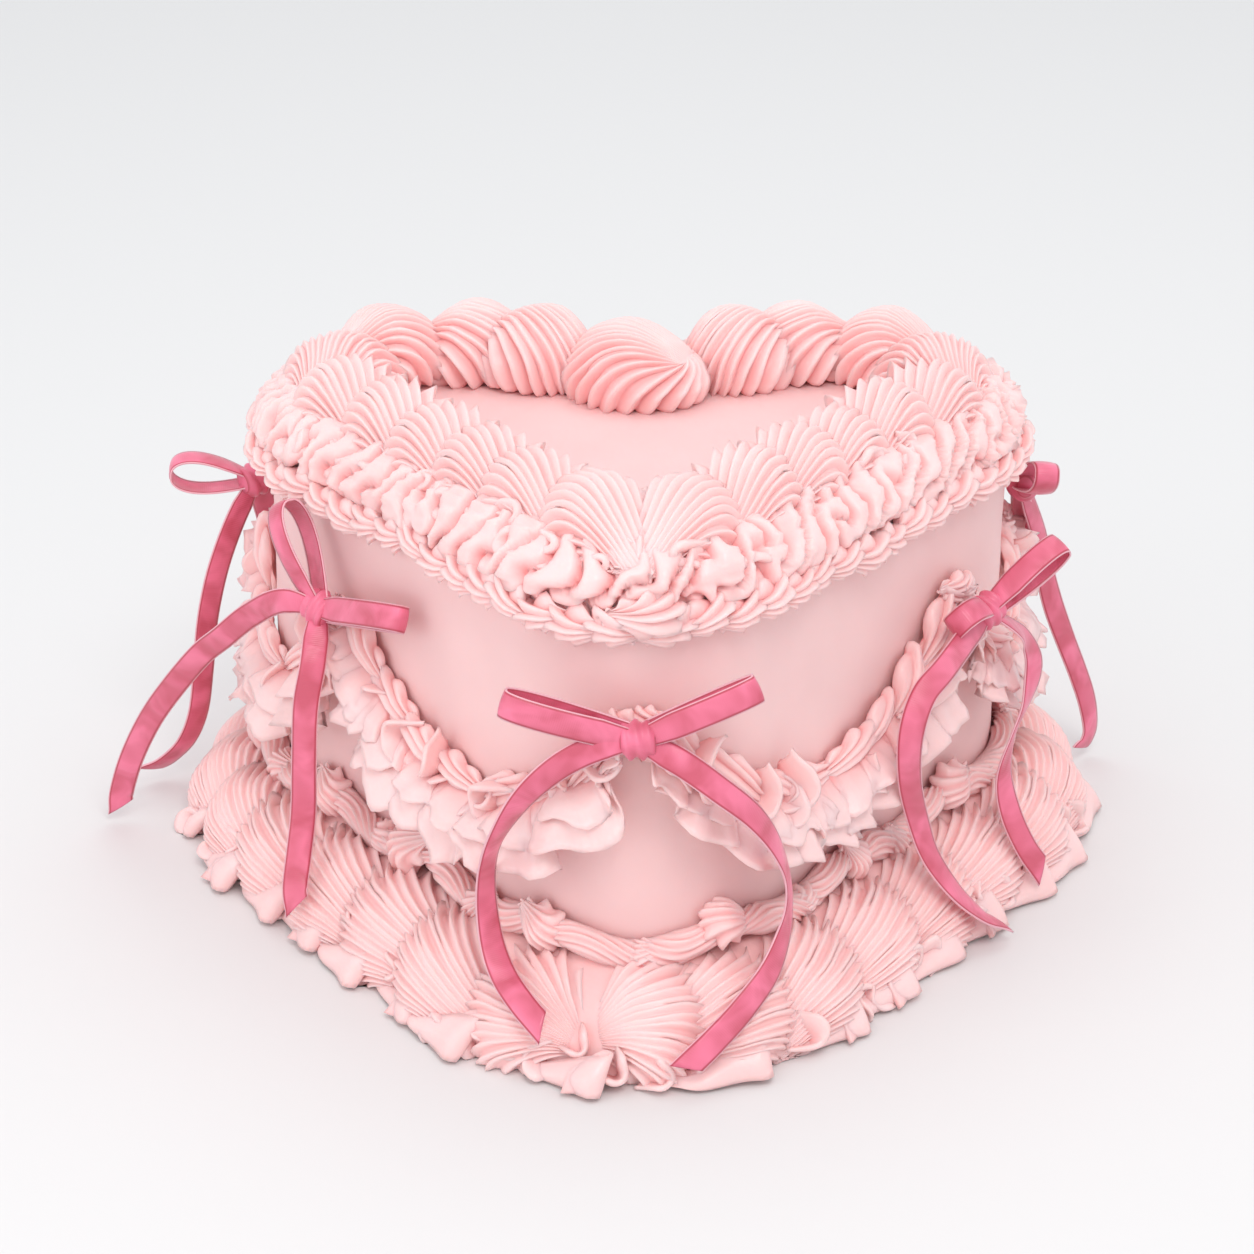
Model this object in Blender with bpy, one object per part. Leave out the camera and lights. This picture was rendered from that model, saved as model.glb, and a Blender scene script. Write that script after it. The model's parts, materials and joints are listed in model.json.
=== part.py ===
"""Heart shaped celebration cake with piped borders, swags and ribbon bows.

The cake stands on z = 0 with the point of the heart toward -Y. Every border is a ring swept along the
outline of the heart, so the sizes below drive the whole cake.
"""
import math

import bmesh
import bpy
import numpy as np

MM = 0.001
GAP = 0.0004

# The heart seen from above: a rounded point, two straight flanks, two round lobes and a rounded cleft.
HALF_WIDTH = 0.100
LENGTH = 0.173
HEIGHT = 0.121
LOBE_RADIUS = 0.052
TIP_RADIUS = 0.040
CLEFT_RADIUS = 0.012
TIGHTEST_CLEFT = 0.004
TOP_EDGE_ROUND = 0.003
BODY_STEP = 0.0058

# Shell border on the top.
TOP_SHELLS_PER_SIDE = 10
TOP_CENTRE_SHELL = 0.024
TIP_SHELL = 0.029
TOP_SHELL_INNER = -0.0335
TOP_SHELL_OUTER = -0.0054
TOP_SHELL_HEIGHT = 0.0215
TOP_SHELL_RIDGES = 5
TOP_SHELL_TURN = 0.0030

# Folded ruffle along the top edge, and the small shells under it on the side.
RUFFLE_INNER = -0.0046
RUFFLE_OUTER = 0.0068
RUFFLE_HEIGHT = 0.0085
RUFFLE_WAVES = 44
BEADS = 44
CENTRE_BEAD = 0.010
BEAD_BOTTOM = 0.0135
BEAD_DEPTH = 0.0068

# Swags on the side: the arc length of their ends from the point of the heart, and the shape of one swag.
SWAG_ENDS = (-0.300, -0.180, -0.106, 0.0, 0.117, 0.176, 0.300)
SWAG_TOP = 0.0845
SWAG_DROP = 0.0265
SWAG_DROP_PER_LENGTH = 0.45
SWAG_HANG = 2.2
SWAG_END_GAP = 0.0070
SWAG_WAVE = 0.0135
PETAL_DEPTH = 0.0185
PETAL_SWING = 0.0016
SWAG_GAP = 0.0008
SWAG_FAN = 0.42

# Rope above the base border, and the shells of the base border.
ROPE_LOW = 0.0245
ROPE_HEIGHT = 0.0075
ROPE_DEPTH = 0.0078
ROPE_SCALLOP = 0.0035
ROPE_SCALLOPS = 13
BASE_SHELLS_PER_SIDE = 13
BASE_CENTRE_SHELL = 0.018
BASE_SHELL_HEIGHT = 0.0215
BASE_SHELL_DEPTH = 0.0275
BASE_FLUTE = 0.0011

# Satin ribbon.
RIBBON_WIDTH = 0.0068
RIBBON_THICKNESS = 0.0006
LOOP_OPENING = 0.0075
KNOT_RADIUS = 0.0042

# Each bow in millimetres: its knot, the far ends of its loops, and the line that each tail follows.
BOWS = {
    "bow_front": {
        "knot": (-0.6, -97.0, 87.5),
        "loops": ((-32.2, -98.0, 97.8), (27.4, -97.0, 101.0)),
        "tails": (
            ((-4.3, -98.3, 88.6), (-9.4, -99.6, 87.0), (-18.8, -99.6, 82.0), (-27.2, -98.0, 73.2),
             (-33.5, -94.4, 61.7), (-36.7, -90.6, 51.4), (-37.6, -87.6, 39.7), (-36.4, -89.6, 28.9),
             (-33.5, -95.5, 22.8), (-28.9, -102.6, 19.1), (-23.5, -108.6, 15.5)),
            ((2.3, -98.4, 87.6), (9.3, -99.7, 83.0), (18.7, -100.3, 75.9), (27.3, -97.7, 67.0),
             (33.1, -94.1, 56.4), (36.0, -90.7, 44.9), (35.5, -90.6, 33.1), (31.8, -97.4, 25.1),
             (25.1, -105.6, 19.3), (17.7, -112.2, 14.0), (11.0, -116.4, 9.0)),
        ),
    },
    "bow_left": {
        "knot": (-82.3, -22.3, 87.5),
        "loops": ((-58.9, -48.0, 96.0), (-91.5, -12.0, 112.6)),
        "tails": (
            ((-84.0, -23.5, 88.8), (-92.0, -20.8, 89.0), (-101.6, -12.7, 81.2), (-110.3, -5.5, 71.5),
             (-117.4, 0.4, 63.5), (-126.9, 8.3, 49.8), (-134.7, 14.8, 36.9), (-141.5, 20.4, 22.5),
             (-145.7, 23.9, 10.2), (-147.0, 25.0, 1.8)),
            ((-81.2, -25.0, 86.0), (-83.8, -32.6, 77.0), (-85.6, -32.8, 65.4), (-87.0, -30.6, 49.8),
             (-87.6, -25.6, 33.0), (-90.6, -30.0, 21.5), (-92.2, -36.8, 13.0), (-92.0, -42.2, 7.5)),
        ),
    },
    "bow_right": {
        "knot": (90.6, -14.6, 83.5),
        "loops": ((110.3, -6.0, 98.3), (77.8, -33.0, 87.4)),
        "tails": (
            ((86.6, -18.4, 82.0), (77.8, -39.6, 79.2), (71.4, -47.6, 74.8), (68.3, -51.5, 65.4),
             (68.8, -49.2, 51.5), (71.8, -46.0, 38.0), (75.4, -46.8, 28.0), (82.0, -47.6, 18.4),
             (89.6, -45.2, 10.0), (95.6, -41.2, 4.0)),
            ((91.4, -15.6, 81.6), (98.0, -11.4, 77.6), (102.4, -6.2, 71.0), (105.2, -4.4, 63.0),
             (103.6, -7.0, 54.0), (99.6, -11.8, 45.0), (97.6, -14.4, 35.0), (99.4, -17.4, 25.6),
             (103.4, -21.0, 17.2), (108.4, -21.4, 9.7)),
        ),
    },
    "bow_rear_left": {
        "knot": (-107.1, 53.1, 93.0),
        "loops": ((-129.9, 50.0, 97.0), (-99.0, 79.0, 98.0)),
        "tails": (
            ((-108.0, 52.0, 91.0), (-112.6, 50.0, 82.6), (-116.9, 48.0, 72.1), (-120.0, 48.0, 62.0),
             (-122.6, 48.0, 50.0), (-124.4, 48.0, 36.0), (-126.6, 48.0, 23.0), (-130.6, 48.0, 13.6),
             (-136.6, 48.0, 7.4), (-143.3, 48.0, 2.8)),
            ((-106.6, 56.0, 91.0), (-106.0, 66.0, 78.0), (-104.6, 74.0, 60.0), (-100.0, 78.0, 43.0),
             (-102.0, 84.0, 27.0), (-107.0, 90.0, 12.0), (-111.0, 95.0, 1.6)),
        ),
    },
    "bow_rear_right": {
        "knot": (108.3, 43.6, 92.0),
        "loops": ((116.4, 20.0, 98.0), (103.0, 71.0, 99.0)),
        "tails": (
            ((109.0, 45.0, 90.0), (112.0, 49.0, 79.0), (115.0, 52.0, 66.0), (118.5, 55.0, 54.0),
             (123.0, 58.0, 42.0), (127.8, 61.0, 30.0), (131.5, 63.0, 19.6), (133.3, 64.0, 10.7),
             (132.5, 63.3, 5.4), (129.0, 60.6, 2.4)),
            ((108.6, 48.0, 89.6), (108.6, 58.0, 76.0), (108.0, 67.0, 58.0), (104.0, 71.0, 41.0),
             (106.6, 77.0, 26.0), (111.6, 83.0, 12.0), (115.6, 87.6, 1.7)),
        ),
    },
    "bow_cleft": {
        "knot": (0.0, 77.6, 88.0),
        "loops": ((-25.0, 99.0, 100.0), (25.0, 99.0, 99.0)),
        "tails": (
            ((-1.6, 80.0, 86.0), (-6.0, 86.0, 77.0), (-11.0, 91.5, 62.0), (-14.0, 94.5, 45.0),
             (-14.6, 99.5, 30.0), (-13.6, 107.0, 19.6), (-12.0, 113.6, 11.0), (-10.6, 119.4, 1.7)),
            ((1.6, 80.0, 86.0), (6.0, 86.0, 76.0), (12.0, 92.0, 60.0), (16.0, 96.0, 44.0),
             (17.0, 101.0, 30.0), (18.0, 108.0, 19.6), (18.6, 114.6, 11.0), (19.0, 120.4, 1.7)),
        ),
    },
}


def outline(offset):
    """Give the four pieces of half the outline, moved out by offset: arcs and one straight line."""
    lobe_x = HALF_WIDTH - LOBE_RADIUS
    lobe_y = LENGTH / 2 - LOBE_RADIUS
    tip_y = TIP_RADIUS - LENGTH / 2
    reach = math.hypot(lobe_x, lobe_y - tip_y)
    lean = math.atan2(lobe_y - tip_y, lobe_x) - math.acos((TIP_RADIUS - LOBE_RADIUS) / reach)
    cleft = max(CLEFT_RADIUS - offset, TIGHTEST_CLEFT)
    lobe = LOBE_RADIUS + offset
    cleft_y = lobe_y + math.sqrt((lobe + cleft) ** 2 - lobe_x**2)
    back = math.atan2(cleft_y - lobe_y, -lobe_x)
    return lobe_x, lobe_y, tip_y, lean, cleft, lobe, cleft_y, back


def piece_lengths():
    """Measure the four pieces of half the outline."""
    lobe_x, lobe_y, tip_y, lean, cleft, lobe, cleft_y, back = outline(0.0)
    start = (TIP_RADIUS * math.cos(lean), tip_y + TIP_RADIUS * math.sin(lean))
    end = (lobe_x + lobe * math.cos(lean), lobe_y + lobe * math.sin(lean))
    tip_arc = TIP_RADIUS * (lean + math.pi / 2)
    flank = math.dist(start, end)
    lobe_arc = lobe * (back - lean)
    cleft_arc = cleft * (back - math.pi / 2)
    return tip_arc, flank, lobe_arc, cleft_arc


PIECES = piece_lengths()
HALF_TURN = sum(PIECES)


def place(arc, offset, height):
    """Find the point that lies arc metres round from the point of the heart, offset metres outside it."""
    arc = (arc + HALF_TURN) % (2 * HALF_TURN) - HALF_TURN
    side = -1.0 if arc < 0 else 1.0
    left = abs(arc)
    lobe_x, lobe_y, tip_y, lean, cleft, lobe, cleft_y, back = outline(offset)
    if left <= PIECES[0]:
        angle = -math.pi / 2 + left / TIP_RADIUS
        tip = TIP_RADIUS + offset
        return np.array((side * tip * math.cos(angle), tip_y + tip * math.sin(angle), height))
    left -= PIECES[0]
    if left <= PIECES[1]:
        part = left / PIECES[1]
        tip = TIP_RADIUS + offset
        x = (1 - part) * tip * math.cos(lean) + part * (lobe_x + lobe * math.cos(lean))
        y = (1 - part) * (tip_y + tip * math.sin(lean)) + part * (lobe_y + lobe * math.sin(lean))
        return np.array((side * x, y, height))
    left -= PIECES[1]
    if left <= PIECES[2]:
        angle = lean + (back - lean) * left / PIECES[2]
        return np.array((side * (lobe_x + lobe * math.cos(angle)), lobe_y + lobe * math.sin(angle), height))
    left -= PIECES[2]
    part = min(left / PIECES[3], 1.0)
    angle = (back - math.pi) * (1 - part) - math.pi / 2 * part
    return np.array((side * cleft * math.cos(angle), cleft_y + cleft * math.sin(angle), height))


def new_material(name, colour, roughness, sheen):
    """Make one plain surface."""
    material = bpy.data.materials.new(name)
    material.use_nodes = True
    shader = material.node_tree.nodes["Principled BSDF"]
    shader.inputs["Base Color"].default_value = (*colour, 1.0)
    shader.inputs["Roughness"].default_value = roughness
    shader.inputs["Sheen Weight"].default_value = sheen
    return material


def new_object(name, points, faces, material, smooth=True):
    """Make one mesh object from points and faces."""
    mesh = bpy.data.meshes.new(name)
    mesh.from_pydata([tuple(float(value) for value in point) for point in points], [], faces)
    mesh.materials.append(material)
    mesh.polygons.foreach_set("use_smooth", [smooth] * len(mesh.polygons))
    shell = bmesh.new()
    shell.from_mesh(mesh)
    bmesh.ops.recalc_face_normals(shell, faces=shell.faces)
    shell.to_mesh(mesh)
    shell.free()
    obj = bpy.data.objects.new(name, mesh)
    bpy.context.scene.collection.objects.link(obj)
    return obj


def ring_faces(stations, across):
    """List the faces of a tube that closes on itself both ways."""
    faces = []
    for i in range(stations):
        j = (i + 1) % stations
        for k in range(across):
            m = (k + 1) % across
            faces.append((i * across + k, j * across + k, j * across + m, i * across + m))
    return faces


def strip_faces(stations, across):
    """List the faces of a tube with two closed ends."""
    faces = []
    for i in range(stations - 1):
        for k in range(across):
            m = (k + 1) % across
            faces.append((i * across + k, (i + 1) * across + k, (i + 1) * across + m, i * across + m))
    faces.append(tuple(range(across)))
    faces.append(tuple((stations - 1) * across + k for k in range(across)))
    return faces


def sweep_ring(name, sections, material):
    """Sweep sections of (arc, offset, height) points into a closed ring."""
    points = [place(*point) for section in sections for point in section]
    return new_object(name, points, ring_faces(len(sections), len(sections[0])), material)


def cake_body(material):
    """Build the iced cake: the heart carried straight up, with its top edge rounded."""
    count = round(2 * HALF_TURN / BODY_STEP)
    rings = (
        (0.0, 0.0),
        (0.0, HEIGHT - TOP_EDGE_ROUND),
        (-0.3 * TOP_EDGE_ROUND, HEIGHT - 0.3 * TOP_EDGE_ROUND),
        (-TOP_EDGE_ROUND, HEIGHT),
    )
    points = []
    for offset, height in rings:
        for i in range(count):
            points.append(place(2 * HALF_TURN * i / count - HALF_TURN, offset, height))
    faces = []
    for ring in range(len(rings) - 1):
        for i in range(count):
            j = (i + 1) % count
            low = ring * count
            faces.append((low + i, low + j, low + count + j, low + count + i))
    faces.append(tuple(range(count)))
    faces.append(tuple((len(rings) - 1) * count + i for i in range(count)))
    body = new_object("cake_body", points, faces, material)
    for face in body.data.polygons:
        face.use_smooth = len(face.vertices) == 4
    return body


def shell_stations(starts, steps):
    """List (arc, size, phase) along a row of shells, each with a round head and a thin tail."""
    stations = []
    for start, end in zip(starts[:-1], starts[1:]):
        for phase, size in steps:
            stations.append((start + (end - start) * phase, size, phase))
    return stations


def row_both_ways(starts, steps, head, tail):
    """Mirror a row of shells that runs from the cleft to the point, and close it at both ends."""
    right = shell_stations(starts, steps)
    middle = [(HALF_TURN, head, 0.5)]
    point = [(0.0, tail, 1.0)]
    left = [(-arc, size, phase) for arc, size, phase in right]
    return middle + right + point + left[::-1]


def spaced_starts(offset, first, last, count):
    """Space count shells evenly along the outline moved out by offset, from the cleft's end to the point's.

    First and last are measured along that moved outline, first from the cleft and last from the point.
    """
    arcs = np.linspace(0.0, HALF_TURN, 600)
    line = np.array([place(min(arc, HALF_TURN - 1e-9), offset, 0.0) for arc in arcs])
    walked = np.concatenate(((0.0,), np.cumsum(np.linalg.norm(np.diff(line, axis=0), axis=1))))
    wanted = np.linspace(walked[-1] - first, last, count + 1)
    return [float(arc) for arc in np.interp(wanted, walked, arcs)]


def top_shells(material):
    """Build the large fluted shells round the top."""
    crest = (TOP_SHELL_INNER + TOP_SHELL_OUTER) / 2
    starts = spaced_starts(crest, TOP_CENTRE_SHELL / 2, TIP_SHELL, TOP_SHELLS_PER_SIDE - 1) + [0.0]
    steps = ((0.0, 0.66), (0.07, 0.88), (0.24, 1.0), (0.46, 0.97), (0.68, 0.86), (0.88, 0.73))
    points = 2 * TOP_SHELL_RIDGES + 1
    half = (TOP_SHELL_OUTER - TOP_SHELL_INNER) / 2
    sections = []
    for arc, size, phase in row_both_ways(starts, steps, 1.0, 0.62):
        turn = TOP_SHELL_TURN * math.sin(math.pi * phase) * (1 - size)
        section = [(arc, crest + turn - half * size, HEIGHT + GAP)]
        for k in range(points):
            angle = math.pi * (k + 0.6) / (points + 0.2)
            ridge = 1.0 if k % 2 == 0 else 0.90
            offset = crest + turn - half * size * math.cos(angle) * ridge
            lift = TOP_SHELL_HEIGHT * size * math.sin(angle) ** 0.8 * ridge
            section.append((arc, offset, HEIGHT + GAP + lift))
        section.append((arc, crest + turn + half * size, HEIGHT + GAP))
        sections.append(section)
    return sweep_ring("top_shells", sections, material)


def top_ruffle(material):
    """Build the folded ruffle that follows the top edge."""
    count = 2 * RUFFLE_WAVES
    sections = []
    for i in range(count):
        arc = 2 * HALF_TURN * i / count - HALF_TURN
        wave = 1.0 if i % 2 else 0.35
        lean = RUFFLE_OUTER * (0.55 + 0.45 * wave)
        top = HEIGHT + RUFFLE_HEIGHT * (0.62 + 0.38 * wave)
        base = HEIGHT + GAP
        sections.append([
            (arc, RUFFLE_INNER, base),
            (arc, RUFFLE_INNER, base + 0.004),
            (arc, lean - 0.004, top),
            (arc, lean, top - 0.003),
            (arc, lean - 0.0015, base),
        ])
    return sweep_ring("top_ruffle", sections, material)


def rim_beads(material):
    """Build the small shells along the top of the side."""
    starts = spaced_starts(BEAD_DEPTH, CENTRE_BEAD / 2, 0.0, BEADS // 2)
    steps = ((0.0, 0.70), (0.22, 1.0), (0.62, 0.92))
    sections = []
    for arc, size, phase in row_both_ways(starts, steps, 0.75, 0.75):
        middle = HEIGHT - BEAD_BOTTOM / 2
        half = (BEAD_BOTTOM / 2 - GAP) * (0.72 + 0.28 * size)
        depth = BEAD_DEPTH * size
        sections.append([
            (arc, GAP, middle - half * 0.9),
            (arc, depth * 0.80, middle - half),
            (arc, depth, middle - half * 0.10),
            (arc, depth * 0.70, middle + half * 0.94),
            (arc, GAP, middle + half * 0.80),
        ])
    return sweep_ring("rim_beads", sections, material)


def base_rope(material):
    """Build the thin scalloped rope above the base border."""
    count = 8 * ROPE_SCALLOPS
    sections = []
    for i in range(count):
        arc = 2 * HALF_TURN * i / count - HALF_TURN
        rise = ROPE_SCALLOP * abs(math.cos(math.pi * ROPE_SCALLOPS * i / count)) ** 2
        depth = ROPE_DEPTH * (1.0 if i % 2 else 0.84)
        low = ROPE_LOW + rise
        sections.append([
            (arc, GAP, low),
            (arc, depth * 0.86, low + ROPE_HEIGHT * 0.12),
            (arc, depth, low + ROPE_HEIGHT * 0.55),
            (arc, GAP, low + ROPE_HEIGHT),
        ])
    return sweep_ring("base_rope", sections, material)


def base_shells(material):
    """Build the large fan shaped shells that stand round the foot of the cake."""
    starts = spaced_starts(0.7 * BASE_SHELL_DEPTH, BASE_CENTRE_SHELL / 2, 0.0, BASE_SHELLS_PER_SIDE)
    steps = ((0.0, 0.80), (0.10, 0.94), (0.30, 1.0), (0.52, 0.98), (0.76, 0.89))
    profile = ((0.14, 1.0), (0.34, 0.97), (0.53, 0.86), (0.70, 0.70), (0.85, 0.48), (0.96, 0.24), (1.0, 0.0))
    sections = []
    for arc, size, phase in row_both_ways(starts, steps, 0.84, 0.84):
        section = [(arc, GAP, 0.0), (arc, GAP, BASE_SHELL_HEIGHT * (0.86 + 0.10 * size))]
        for k, (out, up) in enumerate(profile):
            flute = BASE_FLUTE * (1 if k % 2 else -1) if k < len(profile) - 1 else 0.0
            section.append((arc, (BASE_SHELL_DEPTH + flute) * out * size, (BASE_SHELL_HEIGHT + flute) * up * size))
        sections.append(section)
    return sweep_ring("base_shells", sections, material)


def swag(name, first, last, material):
    """Build one swag: a rope of piped icing with a row of thin petals hanging under it."""
    first += SWAG_END_GAP
    last -= SWAG_END_GAP
    drop = min(SWAG_DROP, SWAG_DROP_PER_LENGTH * (last - first))
    count = 2 * max(round((last - first) / SWAG_WAVE), 4) + 1
    points = []
    for i in range(count):
        part = i / (count - 1)
        arc = first + (last - first) * part
        hang = abs(2 * part - 1)
        height = SWAG_TOP - drop * (1 - hang**SWAG_HANG)
        slope = drop * SWAG_HANG * hang ** (SWAG_HANG - 1) * 2 / (last - first)
        slope = slope if part > 0.5 else -slope
        across = np.array((slope * SWAG_FAN, -1.0))
        across /= np.linalg.norm(across)
        taper = (1 - hang**4) ** 0.5 * 0.70 + 0.30
        wave = PETAL_SWING if i % 2 else -PETAL_SWING
        rope = 1.0 if i % 2 else 0.88
        section = (
            (SWAG_GAP, -0.0055),
            (0.0055 * rope, -0.0060),
            (0.0092 * rope, -0.0010),
            (0.0076 * rope, 0.0040),
            (0.0098 + wave * 0.5, 0.0040 + 0.40 * PETAL_DEPTH * taper),
            (0.0126 + wave, 0.0040 + 0.82 * PETAL_DEPTH * taper),
            (0.0108 + wave, 0.0044 + 0.82 * PETAL_DEPTH * taper),
            (0.0052, 0.0040 + 0.30 * PETAL_DEPTH * taper),
            (SWAG_GAP, 0.0045),
        )
        for offset, down in section:
            along = arc + across[0] * down
            along = min(max(along, first - 0.005), last + 0.005)
            points.append(place(along, offset, height + across[1] * down))
    return new_object(name, points, strip_faces(count, 9), material)


def smooth_line(knots, count):
    """Draw a smooth line through the knots and give count points on it."""
    knots = np.array(knots) * MM
    padded = np.vstack((2 * knots[0] - knots[1], knots, 2 * knots[-1] - knots[-2]))
    line = []
    for i in range(count):
        where = i * (len(knots) - 1) / (count - 1)
        span = min(int(where), len(knots) - 2)
        t = where - span
        a, b, c, d = padded[span : span + 4]
        line.append(0.5 * (2 * b + (c - a) * t + (2 * a - 5 * b + 4 * c - d) * t**2 + (3 * b - a - 3 * c + d) * t**3))
    return np.array(line)


def ribbon(name, line, facing, material):
    """Build a flat strap along a line, its face turned toward facing at the start and never twisted."""
    points = []
    across = np.cross(line[1] - line[0], facing)
    for i, here in enumerate(line):
        ahead = line[min(i + 1, len(line) - 1)] - line[max(i - 1, 0)]
        ahead /= np.linalg.norm(ahead)
        across = across - ahead * across.dot(ahead)
        across /= np.linalg.norm(across)
        up = np.cross(across, ahead)
        for w, t in ((-1, -1), (1, -1), (1, 1), (-1, 1)):
            points.append(here + across * w * RIBBON_WIDTH / 2 + up * t * RIBBON_THICKNESS / 2)
    return new_object(name, points, strip_faces(len(line), 4), material, smooth=False)


def outward(point):
    """Give the level direction that points from the cake toward a point beside it."""
    middle = np.array((0.45 * point[0], 0.30 * point[1], 0.0))
    away = np.array((point[0], point[1], 0.0)) - middle
    return away / np.linalg.norm(away)


def bow_loop(name, knot, end, material):
    """Build one loop of a bow: out along the front, round the far end and back behind."""
    face = outward(knot)
    reach = end - knot
    face -= reach * face.dot(reach) / reach.dot(reach)
    face /= np.linalg.norm(face)
    across = np.cross(reach, face)
    line = []
    for i in range(9):
        turn = math.pi * 2 * (i + 0.4) / 8.8
        along = (1 - math.cos(turn)) / 2
        side = math.copysign(0.0008, math.sin(turn)) + math.sin(turn) * (0.2 + 0.8 * along) * LOOP_OPENING / 2
        line.append(knot + reach * (0.06 + 0.94 * along) + face * side)
    points = []
    across /= np.linalg.norm(across)
    for i, here in enumerate(line):
        ahead = line[min(i + 1, len(line) - 1)] - line[max(i - 1, 0)]
        thick = np.cross(across, ahead)
        thick /= np.linalg.norm(thick)
        for w, t in ((-1, -1), (1, -1), (1, 1), (-1, 1)):
            points.append(here + across * w * RIBBON_WIDTH / 2 + thick * t * RIBBON_THICKNESS / 2)
    return new_object(name, points, strip_faces(len(line), 4), material, smooth=False)


def join(name, pieces):
    """Unite overlapping pieces into one solid."""
    group = bpy.data.collections.new(name + "_pieces")
    bpy.context.scene.collection.children.link(group)
    first = pieces[0]
    for piece in pieces[1:]:
        bpy.context.scene.collection.objects.unlink(piece)
        group.objects.link(piece)
    union = first.modifiers.new("union", "BOOLEAN")
    union.operation = "UNION"
    union.solver = "EXACT"
    union.operand_type = "COLLECTION"
    union.collection = group
    bpy.context.view_layer.update()
    graph = bpy.context.evaluated_depsgraph_get()
    mesh = bpy.data.meshes.new_from_object(first.evaluated_get(graph))
    first.modifiers.remove(union)
    first.data = mesh
    first.name = name
    for piece in list(group.objects):
        bpy.data.objects.remove(piece)
    bpy.data.collections.remove(group)
    return first


def bow(name, shape, material):
    """Build one ribbon bow: a knot, its loops and its tails."""
    knot = np.array(shape["knot"]) * MM
    mesh = bpy.data.meshes.new(name)
    ball = bmesh.new()
    bmesh.ops.create_uvsphere(ball, u_segments=6, v_segments=5, radius=KNOT_RADIUS)
    bmesh.ops.translate(ball, verts=ball.verts, vec=tuple(knot))
    ball.to_mesh(mesh)
    ball.free()
    mesh.materials.append(material)
    middle = bpy.data.objects.new(name + "_knot", mesh)
    bpy.context.scene.collection.objects.link(middle)
    pieces = [middle]
    for i, end in enumerate(shape["loops"]):
        pieces.append(bow_loop(f"{name}_loop_{i}", knot, np.array(end) * MM, material))
    for i, tail in enumerate(shape["tails"]):
        line = smooth_line((shape["knot"],) + tail[1:], len(tail) + 1)
        pieces.append(ribbon(f"{name}_tail_{i}", line, outward(knot), material))
    return join(name, pieces)


def main():
    """Build the cake."""
    for obj in list(bpy.data.objects):
        bpy.data.objects.remove(obj)
    cake_body(new_material("smooth_icing", (0.93, 0.60, 0.59), 0.45, 0.0))
    top_shells(new_material("top_shell_icing", (0.97, 0.65, 0.64), 0.42, 0.0))
    top_ruffle(new_material("top_ruffle_icing", (0.96, 0.60, 0.59), 0.42, 0.0))
    rim_beads(new_material("rim_icing", (0.96, 0.62, 0.61), 0.42, 0.0))
    base_rope(new_material("rope_icing", (0.96, 0.61, 0.60), 0.42, 0.0))
    base_shells(new_material("base_shell_icing", (0.96, 0.61, 0.60), 0.42, 0.0))
    swag_icing = new_material("swag_icing", (0.96, 0.66, 0.64), 0.42, 0.0)
    names = ("swag_rear_left", "swag_left", "swag_front_left", "swag_front_right", "swag_right", "swag_rear_right")
    for name, first, last in zip(names, SWAG_ENDS[:-1], SWAG_ENDS[1:]):
        swag(name, max(first, -HALF_TURN), min(last, HALF_TURN), swag_icing)
    satin = new_material("satin_ribbon", (0.62, 0.12, 0.24), 0.35, 0.4)
    for name, shape in BOWS.items():
        bow(name, shape, satin)


main()
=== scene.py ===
"""Looks of the heart shaped cake: smooth and piped icing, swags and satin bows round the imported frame."""
import json
import logging
import math
from dataclasses import dataclass, field, replace
from enum import Enum

import bmesh
import bpy
import numpy as np
from mathutils import Matrix, Vector

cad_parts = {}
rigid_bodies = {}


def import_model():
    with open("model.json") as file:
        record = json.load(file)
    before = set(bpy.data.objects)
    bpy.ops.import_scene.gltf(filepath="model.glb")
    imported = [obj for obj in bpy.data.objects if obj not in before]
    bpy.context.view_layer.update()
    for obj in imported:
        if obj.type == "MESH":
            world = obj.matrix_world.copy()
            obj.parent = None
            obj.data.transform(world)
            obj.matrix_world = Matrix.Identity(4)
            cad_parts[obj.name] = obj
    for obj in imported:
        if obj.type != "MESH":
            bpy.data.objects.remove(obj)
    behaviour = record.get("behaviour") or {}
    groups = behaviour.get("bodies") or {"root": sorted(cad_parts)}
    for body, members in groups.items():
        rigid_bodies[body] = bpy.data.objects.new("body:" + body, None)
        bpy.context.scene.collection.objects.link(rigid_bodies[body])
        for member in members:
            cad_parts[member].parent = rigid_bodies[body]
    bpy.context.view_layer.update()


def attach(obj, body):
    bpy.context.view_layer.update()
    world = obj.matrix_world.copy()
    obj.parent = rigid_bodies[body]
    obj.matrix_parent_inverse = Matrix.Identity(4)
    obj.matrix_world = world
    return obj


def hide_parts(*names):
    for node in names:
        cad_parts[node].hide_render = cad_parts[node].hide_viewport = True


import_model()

log = logging.getLogger("cake")

MM = 0.001
BODY = "root"
# Name of the point attribute that carries painted shade: 0 on ridges, up to 1 in grooves, hollows and under
# rims.
GROOVE_SHADE = "groove_shade"
TAU = 2 * math.pi
UP = np.array((0.0, 0.0, 1.0))

Vec3 = tuple[float, float, float]
Inputs = dict[str | int, object]
Material = bpy.types.Material
Mesh = bpy.types.Mesh
Socket = bpy.types.NodeSocket


class Hand(Enum):
    """Which side of the heart a piped shell is made for, as the sign of its x."""

    LEFT = -1
    RIGHT = 1


class Icing(Enum):
    """The record's material slots."""

    SMOOTH = "smooth_icing"
    PIPED = "piped_icing"
    SATIN = "satin_ribbon"


def smoothstep(low: float, high: float, value: np.ndarray) -> np.ndarray:
    """Ease from 0 at low to 1 at high.

    Args:
        low: Value where the step starts.
        high: Value where the step ends.
        value: Numbers to ease.

    Returns:
        The eased numbers, from 0 to 1.
    """
    part = np.clip((value - low) / (high - low), 0.0, 1.0)
    return part * part * (3 - 2 * part)


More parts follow.
